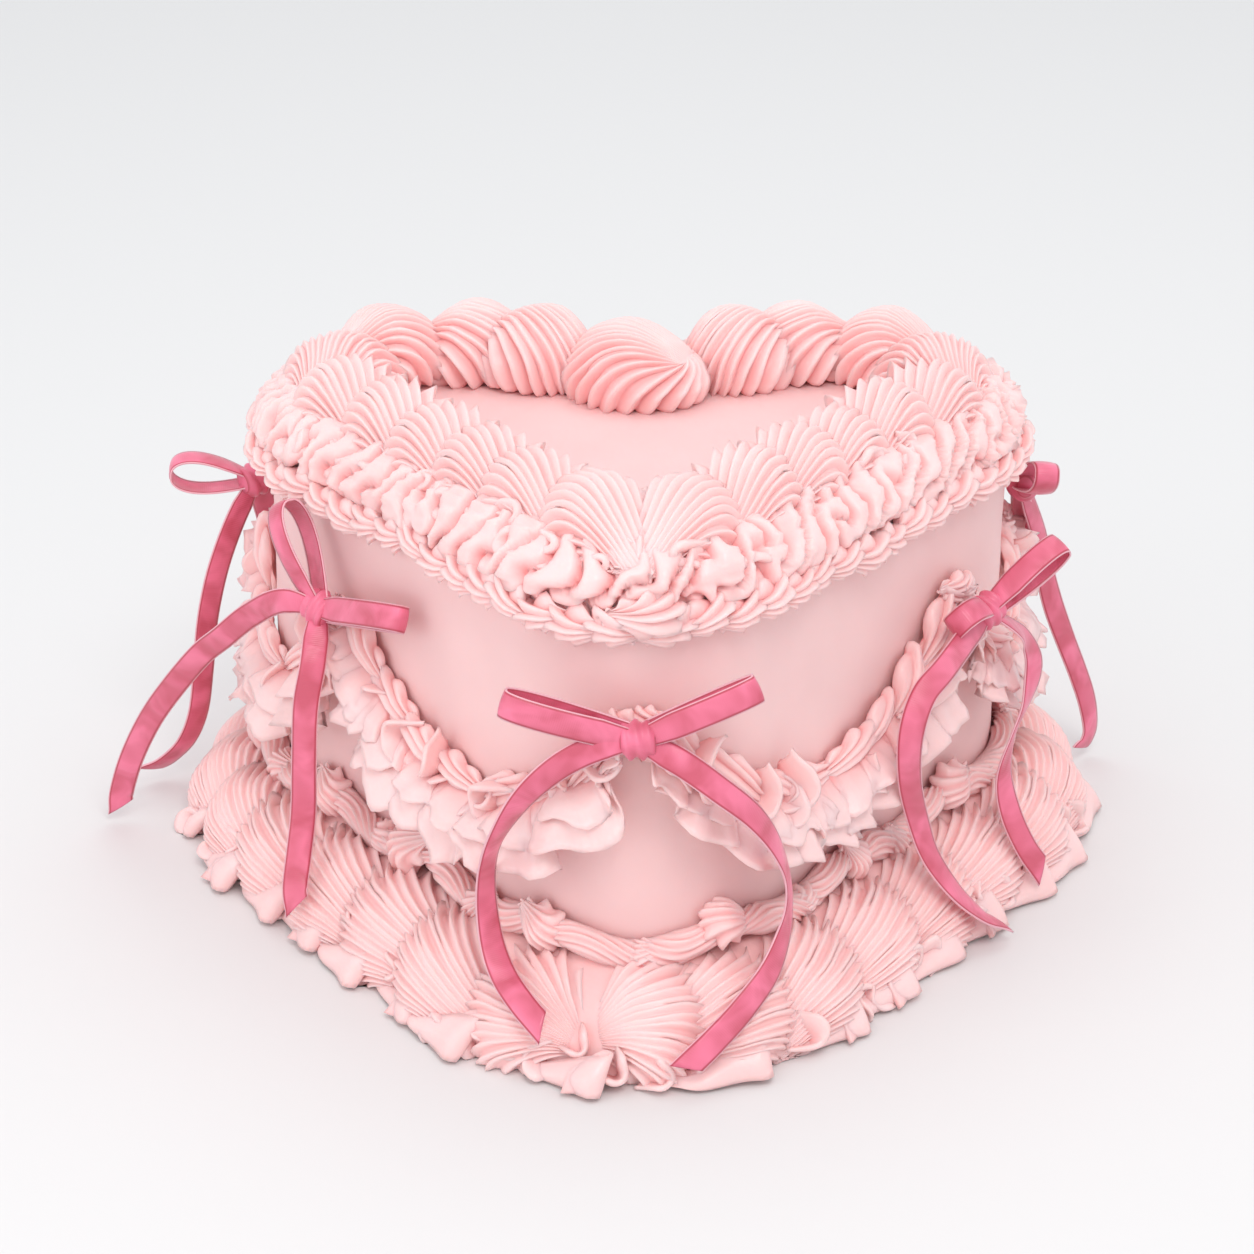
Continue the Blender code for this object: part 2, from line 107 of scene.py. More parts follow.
def unit(vector: np.ndarray) -> np.ndarray:
    """Scale vectors to length 1 along their last axis."""
    return vector / np.maximum(np.linalg.norm(vector, axis=-1, keepdims=True), 1e-12)


def distances(line: np.ndarray) -> np.ndarray:
    """Give each point's distance from the first one, along a line of points."""
    return np.concatenate(((0.0,), np.cumsum(np.linalg.norm(np.diff(line, axis=0), axis=1))))


class Wander:
    """A smooth line of random ups and downs, the same each run, that closes on itself after one turn."""

    def __init__(self, seed: int, lowest: int = 1, highest: int = 8) -> None:
        """Draw the waves.

        Args:
            seed: Seed of the draw.
            lowest: Fewest waves in one turn.
            highest: Most waves in one turn.
        """
        rng = np.random.default_rng(seed)
        self.counts = np.arange(lowest, highest + 1)
        self.phases = rng.uniform(0, TAU, len(self.counts))
        self.heights = rng.uniform(0.4, 1.0, len(self.counts)) / np.sqrt(len(self.counts))

    def at(self, turn: np.ndarray) -> np.ndarray:
        """Give the height, about -1 to 1, at a share of a turn."""
        turn = np.asarray(turn, float)[..., None]
        return (np.sin(TAU * self.counts * turn + self.phases) * self.heights).sum(-1)


@dataclass(frozen=True)
class Heart:
    """The outline of the cake: a rounded point, straight flanks, round lobes and a rounded cleft."""

    half_width: float = 0.100
    length: float = 0.173
    height: float = 0.121
    lobe_radius: float = 0.052
    tip_radius: float = 0.040
    cleft_radius: float = 0.012
    tightest_cleft: float = 0.004

    @property
    def lobe_centre(self) -> tuple[float, float]:
        """Centre of the right lobe."""
        return self.half_width - self.lobe_radius, self.length / 2 - self.lobe_radius

    @property
    def tip_centre(self) -> float:
        """Place of the point's centre along y."""
        return self.tip_radius - self.length / 2

    @property
    def lean(self) -> float:
        """Angle of the right flank's outward direction."""
        x, y = self.lobe_centre
        rise = y - self.tip_centre
        return math.atan2(rise, x) - math.acos((self.tip_radius - self.lobe_radius) / math.hypot(x, rise))

    def cleft(self, offset: np.ndarray) -> tuple[np.ndarray, np.ndarray, np.ndarray]:
        """Give the cleft's radius, its centre along y and the angle where the lobe ends, at an offset."""
        x, y = self.lobe_centre
        radius = np.maximum(self.cleft_radius - offset, self.tightest_cleft)
        centre = y + np.sqrt(np.maximum((self.lobe_radius + offset + radius) ** 2 - x**2, 0.0))
        return radius, centre, np.arctan2(centre - y, -x)

    @property
    def spans(self) -> tuple[float, float, float, float]:
        """Lengths of half the outline's pieces: point, flank, lobe and cleft."""
        x, y = self.lobe_centre
        lean = self.lean
        radius, _, back = self.cleft(np.array(0.0))
        start = (self.tip_radius * math.cos(lean), self.tip_centre + self.tip_radius * math.sin(lean))
        end = (x + self.lobe_radius * math.cos(lean), y + self.lobe_radius * math.sin(lean))
        return (
            self.tip_radius * (lean + math.pi / 2),
            math.dist(start, end),
            self.lobe_radius * (float(back) - lean),
            float(radius) * (float(back) - math.pi / 2),
        )

    @property
    def half_turn(self) -> float:
        """Length of half the outline, from the point to the cleft."""
        return sum(self.spans)

    def place(self, arc: np.ndarray, offset: np.ndarray, height: np.ndarray) -> np.ndarray:
        """Find points beside the outline.

        Args:
            arc: Metres round from the point of the heart, positive to +x.
            offset: Metres outside the wall.
            height: Metres above the foot.

        Returns:
            The points, in metres.
        """
        arc, offset, height = np.broadcast_arrays(
            np.asarray(arc, float), np.asarray(offset, float), np.asarray(height, float)
        )
        half = self.half_turn
        arc = (arc + half) % (2 * half) - half
        side = np.where(arc < 0, -1.0, 1.0)
        left = np.abs(arc)
        tip_span, flank, lobe_span, cleft_span = self.spans
        lobe_x, lobe_y = self.lobe_centre
        radius, cleft_y, back = self.cleft(offset)
        tip, lobe, lean = self.tip_radius + offset, self.lobe_radius + offset, self.lean

        angle = -math.pi / 2 + left / self.tip_radius
        on_tip = (tip * np.cos(angle), self.tip_centre + tip * np.sin(angle))
        part = np.clip((left - tip_span) / flank, 0, 1)
        on_flank = (
            ((1 - part) * tip + part * lobe) * math.cos(lean) + part * lobe_x,
            (1 - part) * self.tip_centre + part * lobe_y + ((1 - part) * tip + part * lobe) * math.sin(lean),
        )
        part = np.clip((left - tip_span - flank) / lobe_span, 0, 1)
        angle = lean + (back - lean) * part
        on_lobe = (lobe_x + lobe * np.cos(angle), lobe_y + lobe * np.sin(angle))
        part = np.clip((left - tip_span - flank - lobe_span) / cleft_span, 0, 1)
        angle = (back - math.pi) * (1 - part) - math.pi / 2 * part
        in_cleft = (radius * np.cos(angle), cleft_y + radius * np.sin(angle))

        where = [left <= tip_span, left <= tip_span + flank, left <= tip_span + flank + lobe_span]
        x = np.select(where, [on_tip[0], on_flank[0], on_lobe[0]], in_cleft[0])
        y = np.select(where, [on_tip[1], on_flank[1], on_lobe[1]], in_cleft[1])
        return np.stack((side * x, y, height + 0.0 * x), -1)

    def outward(self, arc: np.ndarray, offset: np.ndarray = 0.0) -> np.ndarray:
        """Give the level direction that points straight away from the wall."""
        step = 0.0005
        return unit(self.place(arc, offset + step, 0.0) - self.place(arc, offset - step, 0.0))

    def spaced(self, offset: float, first: float, last: float, count: int) -> np.ndarray:
        """Space stations evenly along half of the outline moved out by an offset.

        Args:
            offset: How far out the stations lie.
            first: Gap left at the cleft's end.
            last: Gap left at the point's end.
            count: How many spaces there are.

        Returns:
            The arcs of the count + 1 stations, from the cleft to the point.
        """
        arcs = np.linspace(0.0, self.half_turn - 1e-9, 900)
        line = self.place(arcs, offset, 0.0)
        walked = distances(line)
        return np.interp(np.linspace(walked[-1] - first, last, count + 1), walked, arcs)


@dataclass
class Form:
    """Points, faces and each point's painted shade: 0 on a ridge, 1 down in grooves, and also raised under
    rims and at roots where shade falls.
    """

    points: np.ndarray
    faces: list[tuple[int, ...]]
    groove_shade: np.ndarray
    uv: np.ndarray | None = None

    def turned_out(self) -> "Form":
        """Turn the faces round if they look inwards, and give the form back."""
        others = [(face[0], face[2], face[3]) for face in self.faces if len(face) == 4]
        corners = np.array([face[:3] for face in self.faces] + others)
        first, second, third = (self.points[corners[:, i]] for i in range(3))
        if float(np.sum(first * np.cross(second, third))) < 0:
            self.faces = [face[::-1] for face in self.faces]
        return self

    def mirrored(self) -> "Form":
        """Give the same form with its left and right sides swapped."""
        faces = [face[::-1] for face in self.faces]
        return Form(self.points * np.array((1.0, -1.0, 1.0)), faces, self.groove_shade.copy())

    @staticmethod
    def joined(forms: list["Form"]) -> "Form":
        """Put several forms in one."""
        points, faces, groove_shade, uv = [], [], [], []
        start = 0
        for form in forms:
            points.append(form.points)
            faces.extend(tuple(index + start for index in face) for face in form.faces)
            groove_shade.append(form.groove_shade)
            if form.uv is not None:
                uv.append(form.uv)
            start += len(form.points)
        return Form(np.concatenate(points), faces, np.concatenate(groove_shade), np.concatenate(uv) if uv else None)

    def mesh(self, name: str) -> Mesh:
        """Make a mesh with the painted shade as a point attribute, and a UV map where the form has one."""
        mesh = bpy.data.meshes.new(name)
        mesh.from_pydata(self.points.tolist(), [], self.faces)
        attribute = mesh.attributes.new(GROOVE_SHADE, "FLOAT", "POINT")
        attribute.data.foreach_set("value", self.groove_shade.astype(np.float32))
        if self.uv is not None:
            corners = np.zeros(len(mesh.loops), np.int32)
            mesh.loops.foreach_get("vertex_index", corners)
            layer = mesh.uv_layers.new(name="UVMap")
            layer.data.foreach_set("uv", self.uv[corners].astype(np.float32).ravel())
        mesh.polygons.foreach_set("use_smooth", [True] * len(mesh.polygons))
        return mesh


def grid_faces(rows: int, columns: int, wrap: bool) -> list[tuple[int, ...]]:
    """List the quads of a grid of points.

    Args:
        rows: Rows of points.
        columns: Points in a row.
        wrap: True if the last column joins the first.

    Returns:
        The faces.
    """
    row = np.arange(rows - 1)[:, None]
    column = np.arange(columns if wrap else columns - 1)[None, :]
    after = (column + 1) % columns
    here, below = row * columns, (row + 1) * columns
    quads = np.stack((here + column, here + after, below + after, below + column), -1)
    return [tuple(quad) for quad in quads.reshape(-1, 4).tolist()]


def grid_normals(points: np.ndarray, wrap: bool) -> np.ndarray:
    """Give the directions that stand on a grid of points, which runs (rows, columns, 3)."""
    if wrap:
        across = np.roll(points, -1, 1) - np.roll(points, 1, 1)
    else:
        across = np.gradient(points, axis=1)
    return unit(np.cross(across, np.gradient(points, axis=0)))


def thick_sheet(points: np.ndarray, thickness: np.ndarray, groove_shade: np.ndarray, wrap: bool = False) -> Form:
    """Give a sheet its thickness, with both sides and all the edges closed.

    Args:
        points: The middle of the sheet, as (rows, columns, 3).
        thickness: Thickness at each point, broadcast over the grid.
        groove_shade: Painted shade at each point, broadcast over the grid.
        wrap: True if the last column joins the first.

    Returns:
        The closed form.
    """
    rows, columns = points.shape[:2]
    half = grid_normals(points, wrap) * (np.broadcast_to(thickness, (rows, columns)) / 2)[..., None]
    front, back = (points + half).reshape(-1, 3), (points - half).reshape(-1, 3)
    count = rows * columns
    faces = grid_faces(rows, columns, wrap)
    both = faces + [tuple(index + count for index in face[::-1]) for face in faces]
    edges = [[r * columns + c for c in range(columns)] for r in (0, rows - 1)]
    for place, edge in enumerate(edges):
        pairs = list(zip(edge, edge[1:] + edge[:1])) if wrap else list(zip(edge[:-1], edge[1:]))
        for a, b in pairs:
            quad = (b, a, a + count, b + count)
            both.append(quad if place == 0 else quad[::-1])
    if not wrap:
        for place, c in enumerate((0, columns - 1)):
            for r in range(rows - 1):
                a, b = r * columns + c, (r + 1) * columns + c
                quad = (a, b, b + count, a + count)
                both.append(quad if place == 0 else quad[::-1])
    depth = np.broadcast_to(groove_shade, (rows, columns)).ravel()
    return Form(np.concatenate((front, back)), both, np.concatenate((depth, depth)))


def swept_ring(points: np.ndarray, groove_shade: np.ndarray) -> Form:
    """Close a grid of (stations, around, 3) points on itself both ways."""
    stations, around = points.shape[:2]
    faces = grid_faces(stations + 1, around, True)
    count = stations * around
    faces = [tuple(index % count for index in face) for face in faces]
    depth = np.broadcast_to(groove_shade, (stations, around)).ravel().copy()
    return Form(points.reshape(-1, 3), faces, depth).turned_out()


def swept_bar(points: np.ndarray, groove_shade: np.ndarray, end_shades: tuple[float, float] = (0.5, 0.5)) -> Form:
    """Close a grid of (stations, around, 3) points round its middle, and end it in two points."""
    stations, around = points.shape[:2]
    faces = grid_faces(stations, around, True)
    middle = points.reshape(-1, 3)
    first, last = len(middle), len(middle) + 1
    for c in range(around):
        after = (c + 1) % around
        faces.append((after, c, first))
        faces.append(((stations - 1) * around + c, (stations - 1) * around + after, last))
    ends = np.stack((points[0].mean(0), points[-1].mean(0)))
    # The two end points carry painted shade of their own.
    depth = np.concatenate((np.broadcast_to(groove_shade, (stations, around)).ravel(), end_shades))
    return Form(np.concatenate((middle, ends)), faces, depth).turned_out()


class Wiring:
    """A node tree that is built one node at a time."""

    def __init__(self, tree: bpy.types.NodeTree) -> None:
        """Take the tree."""
        self.tree = tree

    def feed(self, node: bpy.types.Node, inputs: Inputs) -> None:
        """Fill a node's inputs, by name or number: a socket is linked, and any other value is set."""
        for key, value in inputs.items():
            if isinstance(value, Socket):
                self.tree.links.new(value, node.inputs[key])
            else:
                node.inputs[key].default_value = value

    def add(self, kind: str, inputs: Inputs | None = None, **settings: object) -> bpy.types.Node:
        """Add a node of a kind, with its settings, and fill its inputs."""
        node = self.tree.nodes.new(kind)
        for key, value in settings.items():
            setattr(node, key, value)
        self.feed(node, inputs or {})
        return node

    def noise(self, place: Socket, scale: float, detail: float, distortion: float = 0.0) -> Socket:
        """Add a noise, and give its value."""
        inputs = {"Vector": place, "Scale": scale, "Detail": detail, "Distortion": distortion}
        return self.add("ShaderNodeTexNoise", inputs).outputs["Fac"]

    def scaled(self, vector: Socket, scale: Socket) -> Socket:
        """Scale a vector or a colour."""
        node = self.add("ShaderNodeVectorMath", {0: vector, "Scale": scale}, operation="SCALE")
        return node.outputs["Vector"]

    def math(self, operation: str, *values: Socket | float) -> Socket:
        """Work out one number from others."""
        return self.add("ShaderNodeMath", dict(enumerate(values)), operation=operation).outputs["Value"]

    def ramp(self, value: Socket, low: float, high: float, first: float = 0.0, last: float = 1.0) -> Socket:
        """Carry a value that runs from low to high over to one that runs from first to last."""
        inputs = {"Value": value, "From Min": low, "From Max": high, "To Min": first, "To Max": last}
        return self.add("ShaderNodeMapRange", inputs).outputs["Result"]

    def bump(self, height: Socket, strength: float, distance: float, under: Socket | None = None) -> Socket:
        """Raise the surface by a height, over another bump if one is given."""
        inputs = {"Height": height, "Strength": strength, "Distance": distance}
        return self.add("ShaderNodeBump", inputs | ({"Normal": under} if under else {})).outputs["Normal"]

    def mix(self, first: object, second: object, share: Socket) -> Socket:
        """Mix two colours, each three values or a socket, by a share."""
        ends = [end if isinstance(end, Socket) else (*end, 1.0) for end in (first, second)]
        return self.add("ShaderNodeMix", {0: share, 6: ends[0], 7: ends[1]}, data_type="RGBA").outputs[2]


def new_material(name: str) -> tuple[Material, Wiring, bpy.types.Node]:
    """Make a material, and give it with its wiring and its shader node."""
    made = bpy.data.materials.new(name)
    made.use_nodes = True
    return made, Wiring(made.node_tree), made.node_tree.nodes["Principled BSDF"]


@dataclass(frozen=True)
class IcingFinish:
    """Whipped icing: its colour on ridges, a painted shade colour down in grooves and hollows, its gloss and
    its fine grain.
    """

    name: str
    ridge: Vec3
    # Colour of the painted shade down in grooves, hollows and under rims.
    groove_shade: Vec3
    roughness: float = 0.31
    scatter: float = 0.22
    scatter_depth: float = 0.005
    grain: float = 0.25
    grain_scale: float = 420.0
    grain_depth: float = 0.0006
    swirl_scale: float = 34.0
    swirl: float = 0.06
    falloff: float = 1.5

    def material(self) -> Material:
        """Build the node tree and give the material."""
        made, tree, shader = new_material(self.name)
        place = tree.add("ShaderNodeTexCoord").outputs["Object"]
        # Painted shade: the colour darkens toward the shade colour where the mesh's shade attribute is high.
        depth = tree.add("ShaderNodeAttribute", attribute_name=GROOVE_SHADE).outputs["Fac"]
        colour = tree.mix(self.ridge, self.groove_shade, tree.math("POWER", depth, self.falloff))
        swirl = tree.noise(place, self.swirl_scale, 3.0)
        shade = tree.ramp(swirl, 0.3, 0.7, 1.0 - self.swirl, 1.0 + 0.3 * self.swirl)
        grain = tree.noise(place, self.grain_scale, 4.0)
        tree.feed(shader, {
            "Base Color": tree.scaled(colour, shade),
            "Normal": tree.bump(grain, self.grain, self.grain_depth),
            "Roughness": self.roughness,
            "Specular IOR Level": 0.45,
            "Subsurface Weight": self.scatter,
            "Subsurface Radius": (1.0, 0.45, 0.35),
            "Subsurface Scale": self.scatter_depth,
        })
        return made


@dataclass(frozen=True)
class SatinFinish:
    """Satin ribbon: its colour, painted darker and lighter over its creases as painted shade and painted
    highlight, the pale thread along each edge with a deeper line beside it, and the creases.
    """

    name: str = "satin_ribbon_finish"
    # deep and light: the ribbon's colour, as painted shade in the creases and painted highlight on them.
    deep: Vec3 = (0.60, 0.098, 0.158)
    light: Vec3 = (0.84, 0.190, 0.308)
    line: Vec3 = (0.50, 0.058, 0.095)
    line_at: tuple[float, float] = (0.76, 0.84)
    selvage: Vec3 = (0.85, 0.45, 0.52)
    selvage_at: tuple[float, float] = (0.90, 0.95)
    rib_scale: float = 1900.0
    rib_depth: float = 0.0001
    crease_scale: float = 95.0
    crease_depth: float = 0.0022
    roughness: float = 0.30

    def material(self) -> Material:
        """Build the node tree, which follows the ribbon's own UV map, and give the material."""
        made, tree, shader = new_material(self.name)
        flat = tree.add("ShaderNodeUVMap", uv_map="UVMap").outputs["UV"]
        parts = tree.add("ShaderNodeSeparateXYZ", {"Vector": flat}).outputs
        away = tree.math("ABSOLUTE", parts["X"])
        crease = tree.noise(tree.add("ShaderNodeTexCoord").outputs["Object"], self.crease_scale, 2.0, 0.6)
        # Painted shade and painted highlight: the colour runs from deep to light over the same noise that
        # bumps the creases.
        colour = tree.mix(self.deep, self.light, tree.ramp(crease, 0.36, 0.66))
        for span, tint in ((self.line_at, self.line), (self.selvage_at, self.selvage)):
            colour = tree.mix(colour, tint, tree.ramp(away, *span))
        ribs = tree.math("SINE", tree.math("MULTIPLY", parts["Y"], self.rib_scale * TAU))
        tree.feed(shader, {
            "Base Color": colour,
            "Normal": tree.bump(crease, 0.35, self.crease_depth, tree.bump(ribs, 0.15, self.rib_depth)),
            "Roughness": self.roughness,
            "Anisotropic": 0.5,
            "Sheen Weight": 0.25,
            "Sheen Roughness": 0.4,
            "Sheen Tint": (1.0, 0.80, 0.88, 1.0),
        })
        return made


@dataclass(frozen=True)
class FloorFinish:
    """Plain pale floor under the cake."""

    name: str = "pale_floor"
    colour: Vec3 = (0.75, 0.75, 0.75)
    roughness: float = 0.7

    def material(self) -> Material:
        """Give the material."""
        made, tree, shader = new_material(self.name)
        tree.feed(shader, {"Base Color": (*self.colour, 1.0), "Roughness": self.roughness})
        return made


def finished(name: str, mesh: Mesh, material: Material, nodes: list[str]) -> None:
    """Show a mesh as a piece of the cake, on the cake's body and in the place of CAD nodes.

    Args:
        name: Name of the piece.
        mesh: Its mesh, in the cake's frame.
        material: Its finish.
        nodes: The CAD nodes that it stands for.
    """
    if not len(mesh.materials):
        mesh.materials.append(material)
    piece = bpy.data.objects.new(name, mesh)
    bpy.context.scene.collection.objects.link(piece)
    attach(piece, BODY)
    if nodes:
        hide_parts(*nodes)
    triangles = sum(len(face.vertices) - 2 for face in mesh.polygons)
    log.info("%s: %d triangles", name, triangles)


@dataclass(frozen=True)
class FanShell:
    """One piped shell. Flutes fan out from its tail, rise over a dome and end in teeth round its rim.

    It lies on z = 0 with its head toward +x, and its comb side, where the teeth are longest, toward -y.
    """

    length: float
    width: float
    height: float
    flutes: int
    comb_depth: float
    hood_depth: float
    tooth: float = 0.0012
    tail: float = 0.40
    pole: float = 0.95
    egg: float = 0.42
    rim: float = 0.20
    tuck: float = 0.10
    swirl: float = 0.0
    lean: float = 0.30
    crowd: float = 0.30
    spread: float = 0.40
    gather: float = 0.0
    rounding: float = 1.5
    hood_tooth: float = 0.35
    keen: float = 0.0
    flare_at: float = 0.74
    unevenness: float = 0.16
    columns: int = 6
    rows: int = 20

    def _turns(self) -> tuple[np.ndarray, np.ndarray]:
        """Give each column's share of the way round, and its angle: flutes are widest on the comb side."""
        share = np.arange(self.flutes * self.columns) / (self.flutes * self.columns)
        fine = np.linspace(0, 1, 721)
        packed = fine - self.crowd * (np.sin(TAU * (fine - 0.25)) + 1) / TAU
        packed = packed - self.gather * np.sin(TAU * fine) / TAU
        return share, (np.interp(share, packed, fine) - 0.5) * TAU

    def _dome(self, turn: np.ndarray, t: np.ndarray) -> np.ndarray:
        """Give the smooth dome under the flutes: straight lines from the tail in plan, round in section."""
        top = 0.80
        out = np.sin(math.pi / 2 * np.minimum(t / top, 1.0))
        below = np.clip((t - top) / (1 - top), 0, 1) * math.pi / 2
        edge = np.stack((np.cos(turn), np.sin(turn)), -1)
        pole = np.stack((0.0 * turn - self.pole, self.spread * np.sin(turn)), -1)
        disc = pole + (edge - pole) * out[..., None]
        radius = np.linalg.norm(disc, axis=-1)
        dome = np.sqrt(np.clip(1 - radius**2.4, 0, 1))
        taper = self.tail + (1 - self.tail) * smoothstep(-1.0, 0.25, disc[..., 0])
        narrow = 1 - self.egg * smoothstep(0.35, -1.0, disc[..., 0])
        shrink = 1 - self.tuck * (1 - np.cos(below))
        low = self.rim * self.height
        z = np.where(t <= top, low + (self.height * taper - low) * dome, low * (1 - np.sin(below)))
        x = disc[..., 0] * shrink * self.length / 2
        return np.stack((x, disc[..., 1] * shrink * narrow * self.width / 2, z), -1)

    def form(self, seed: int, hand: Hand) -> Form:
        """Shape one shell.

        Args:
            seed: Seed of its unevenness.
            hand: The side that it is made for; a right hand shell has its comb side toward +y.

        Returns:
            The closed form.
        """
        rng = np.random.default_rng(seed)
        share, turn = self._turns()
        blade = 1 - (1 - np.abs(2 * ((share * self.flutes) % 1.0) - 1)) ** self.rounding
        index = np.round(share * self.flutes).astype(int) % self.flutes
        strength = 1 + self.unevenness * rng.uniform(-1, 1, self.flutes)[index]
        reach = rng.uniform(0.5, 1.1, self.flutes)[index]
        sway = rng.uniform(0, TAU, self.flutes)[index]

        t = np.linspace(0.02, 1.0, self.rows)[:, None]
        bend = 0.030 * np.sin(6.0 * t + sway) * np.sin(math.pi * t)
        points = self._dome(turn[None, :] + bend + self.swirl * (1 - t), t)
        normals = grid_normals(points, True)
        normals *= np.sign(normals[self.rows // 2, :, 2].mean())
        step = np.roll(points, -1, 1) - np.roll(points, 1, 1)
        spacing = np.linalg.norm(step, axis=-1) / 2 * self.columns
        comb = smoothstep(-0.55, 0.75, -np.sin(turn) + 0.25 * np.cos(turn))
        depth = (self.hood_depth + (self.comb_depth - self.hood_depth) * comb) * strength
        amount = np.minimum(depth, 0.62 * spacing) * smoothstep(0.0, 0.15, t)
        ripple = 1 + 0.12 * np.sin(24 * t + 2 * sway) * (0.3 + 0.7 * comb)
        keen = blade ** (1 + self.keen * comb * smoothstep(0.25, 0.65, t))
        lift = amount * (keen - 0.70) * ripple
        flare = np.exp(-(((t - self.flare_at) / 0.12) ** 2))
        flare = flare * (self.hood_tooth + (1 - self.hood_tooth) * comb)
        lift += self.tooth * reach * blade**2.2 * flare
        slide = unit(step) * (self.lean * amount * blade)[..., None]
        points = points + normals * lift[..., None] - slide
        points[..., 2] = np.maximum(points[..., 2], 0.0)
        # Painted shade: darker down in the flutes' grooves and under the rim where it tucks in; the pole end
        # point gets a little and the end point under the rim the most.
        groove_shade = (1 - blade) ** 1.4 * np.clip(amount / max(self.comb_depth, 1e-6), 0, 1)
        groove_shade = np.clip(groove_shade + 0.55 * smoothstep(0.86, 1.0, t), 0, 1)

        made = swept_bar(points, groove_shade, (0.2, 1.0))
        return made if hand is Hand.LEFT else made.mirrored()

    def pairs(self, count: int, seed: int) -> list[Form]:
        """Shape left and right hand shells in turn, each pair with a seed of its own."""
        return [self.form(seed + i, hand) for i in range(count) for hand in Hand]


@dataclass(frozen=True)
class PetalFold:
    """One short fold of a piped petal: a thin strip of icing that stands on z = 0 and bends or doubles back.

    bends holds the turns, in radians, that the strip makes one after another, and lean how far its lip falls
    toward +y for its height.
    """

    length: float = 0.026
    height: float = 0.0085
    bends: tuple[float, ...] = (3.0,)
    flare: float = 0.30
    lean: float = 0.25
    start_height: float = 0.30
    thickness: float = 0.0030
    along: int = 24
    rows: int = 6

    def form(self, seed: int) -> Form:
        """Shape one fold, with a little unevenness of its own."""
        rng = np.random.default_rng(seed)
        u = np.linspace(0.0, 1.0, self.along)
        heading = np.full(self.along, rng.uniform(-0.25, 0.25))
        for i, bend in enumerate(self.bends):
            middle = (i + 1) / (len(self.bends) + 1) + rng.uniform(-0.05, 0.05)
            sharp = 0.26 / len(self.bends)
            heading += bend * rng.uniform(0.85, 1.1) * smoothstep(middle - sharp, middle + sharp, u)
        step = self.length / (self.along - 1)
        plan = np.cumsum(np.stack((np.cos(heading), np.sin(heading)), -1) * step, axis=0)
        plan -= plan.mean(0)
        v = np.linspace(0.0, 1.0, self.rows)[:, None]
        grow = 0.75 + (0.25 + self.flare) * v**1.3
        high = self.height * (0.82 + 0.18 * np.sin(TAU * (u * rng.uniform(0.6, 1.6) + rng.uniform())))
        high = high * (self.start_height + (1 - self.start_height) * smoothstep(0.0, 0.35, u))
        high = high * (0.25 + 0.75 * smoothstep(1.05, 0.74, u))
        x = plan[:, 0] * grow
        y = plan[:, 1] * grow + self.lean * high * v**1.6
        z = high * np.sin(v * math.pi / 2) ** 0.9 - 0.001 * (1 - v)
        full = 0.45 + 0.55 * np.sin(math.pi * np.clip(u, 0.06, 0.94)) ** 0.5
        thick = self.thickness * (1.3 - 0.55 * v) * full
        # Painted shade, darkest at the root of the fold where it meets the icing below.
        groove_shade = np.clip(0.9 - 1.3 * v, 0, 1) + 0.0 * u
        return thick_sheet(np.stack((x, y, z), -1), thick, groove_shade).turned_out()


@dataclass
class Stop:
    """One place of a repeated piece: where it sits, how it is turned, its size and which variant it is."""

    place: np.ndarray
    forward: np.ndarray
    up: np.ndarray
    grow: Vec3 | float = 1.0
    variant: int = 0

    def euler(self) -> Vec3:
        """Give the turn that carries +x to forward and +z as near as can be to up."""
        forward = unit(np.asarray(self.forward, float))
        side = unit(np.cross(self.up, forward))
        up = np.cross(forward, side)
        return tuple(Matrix(np.stack((forward, side, up), 1).tolist()).to_euler("XYZ"))


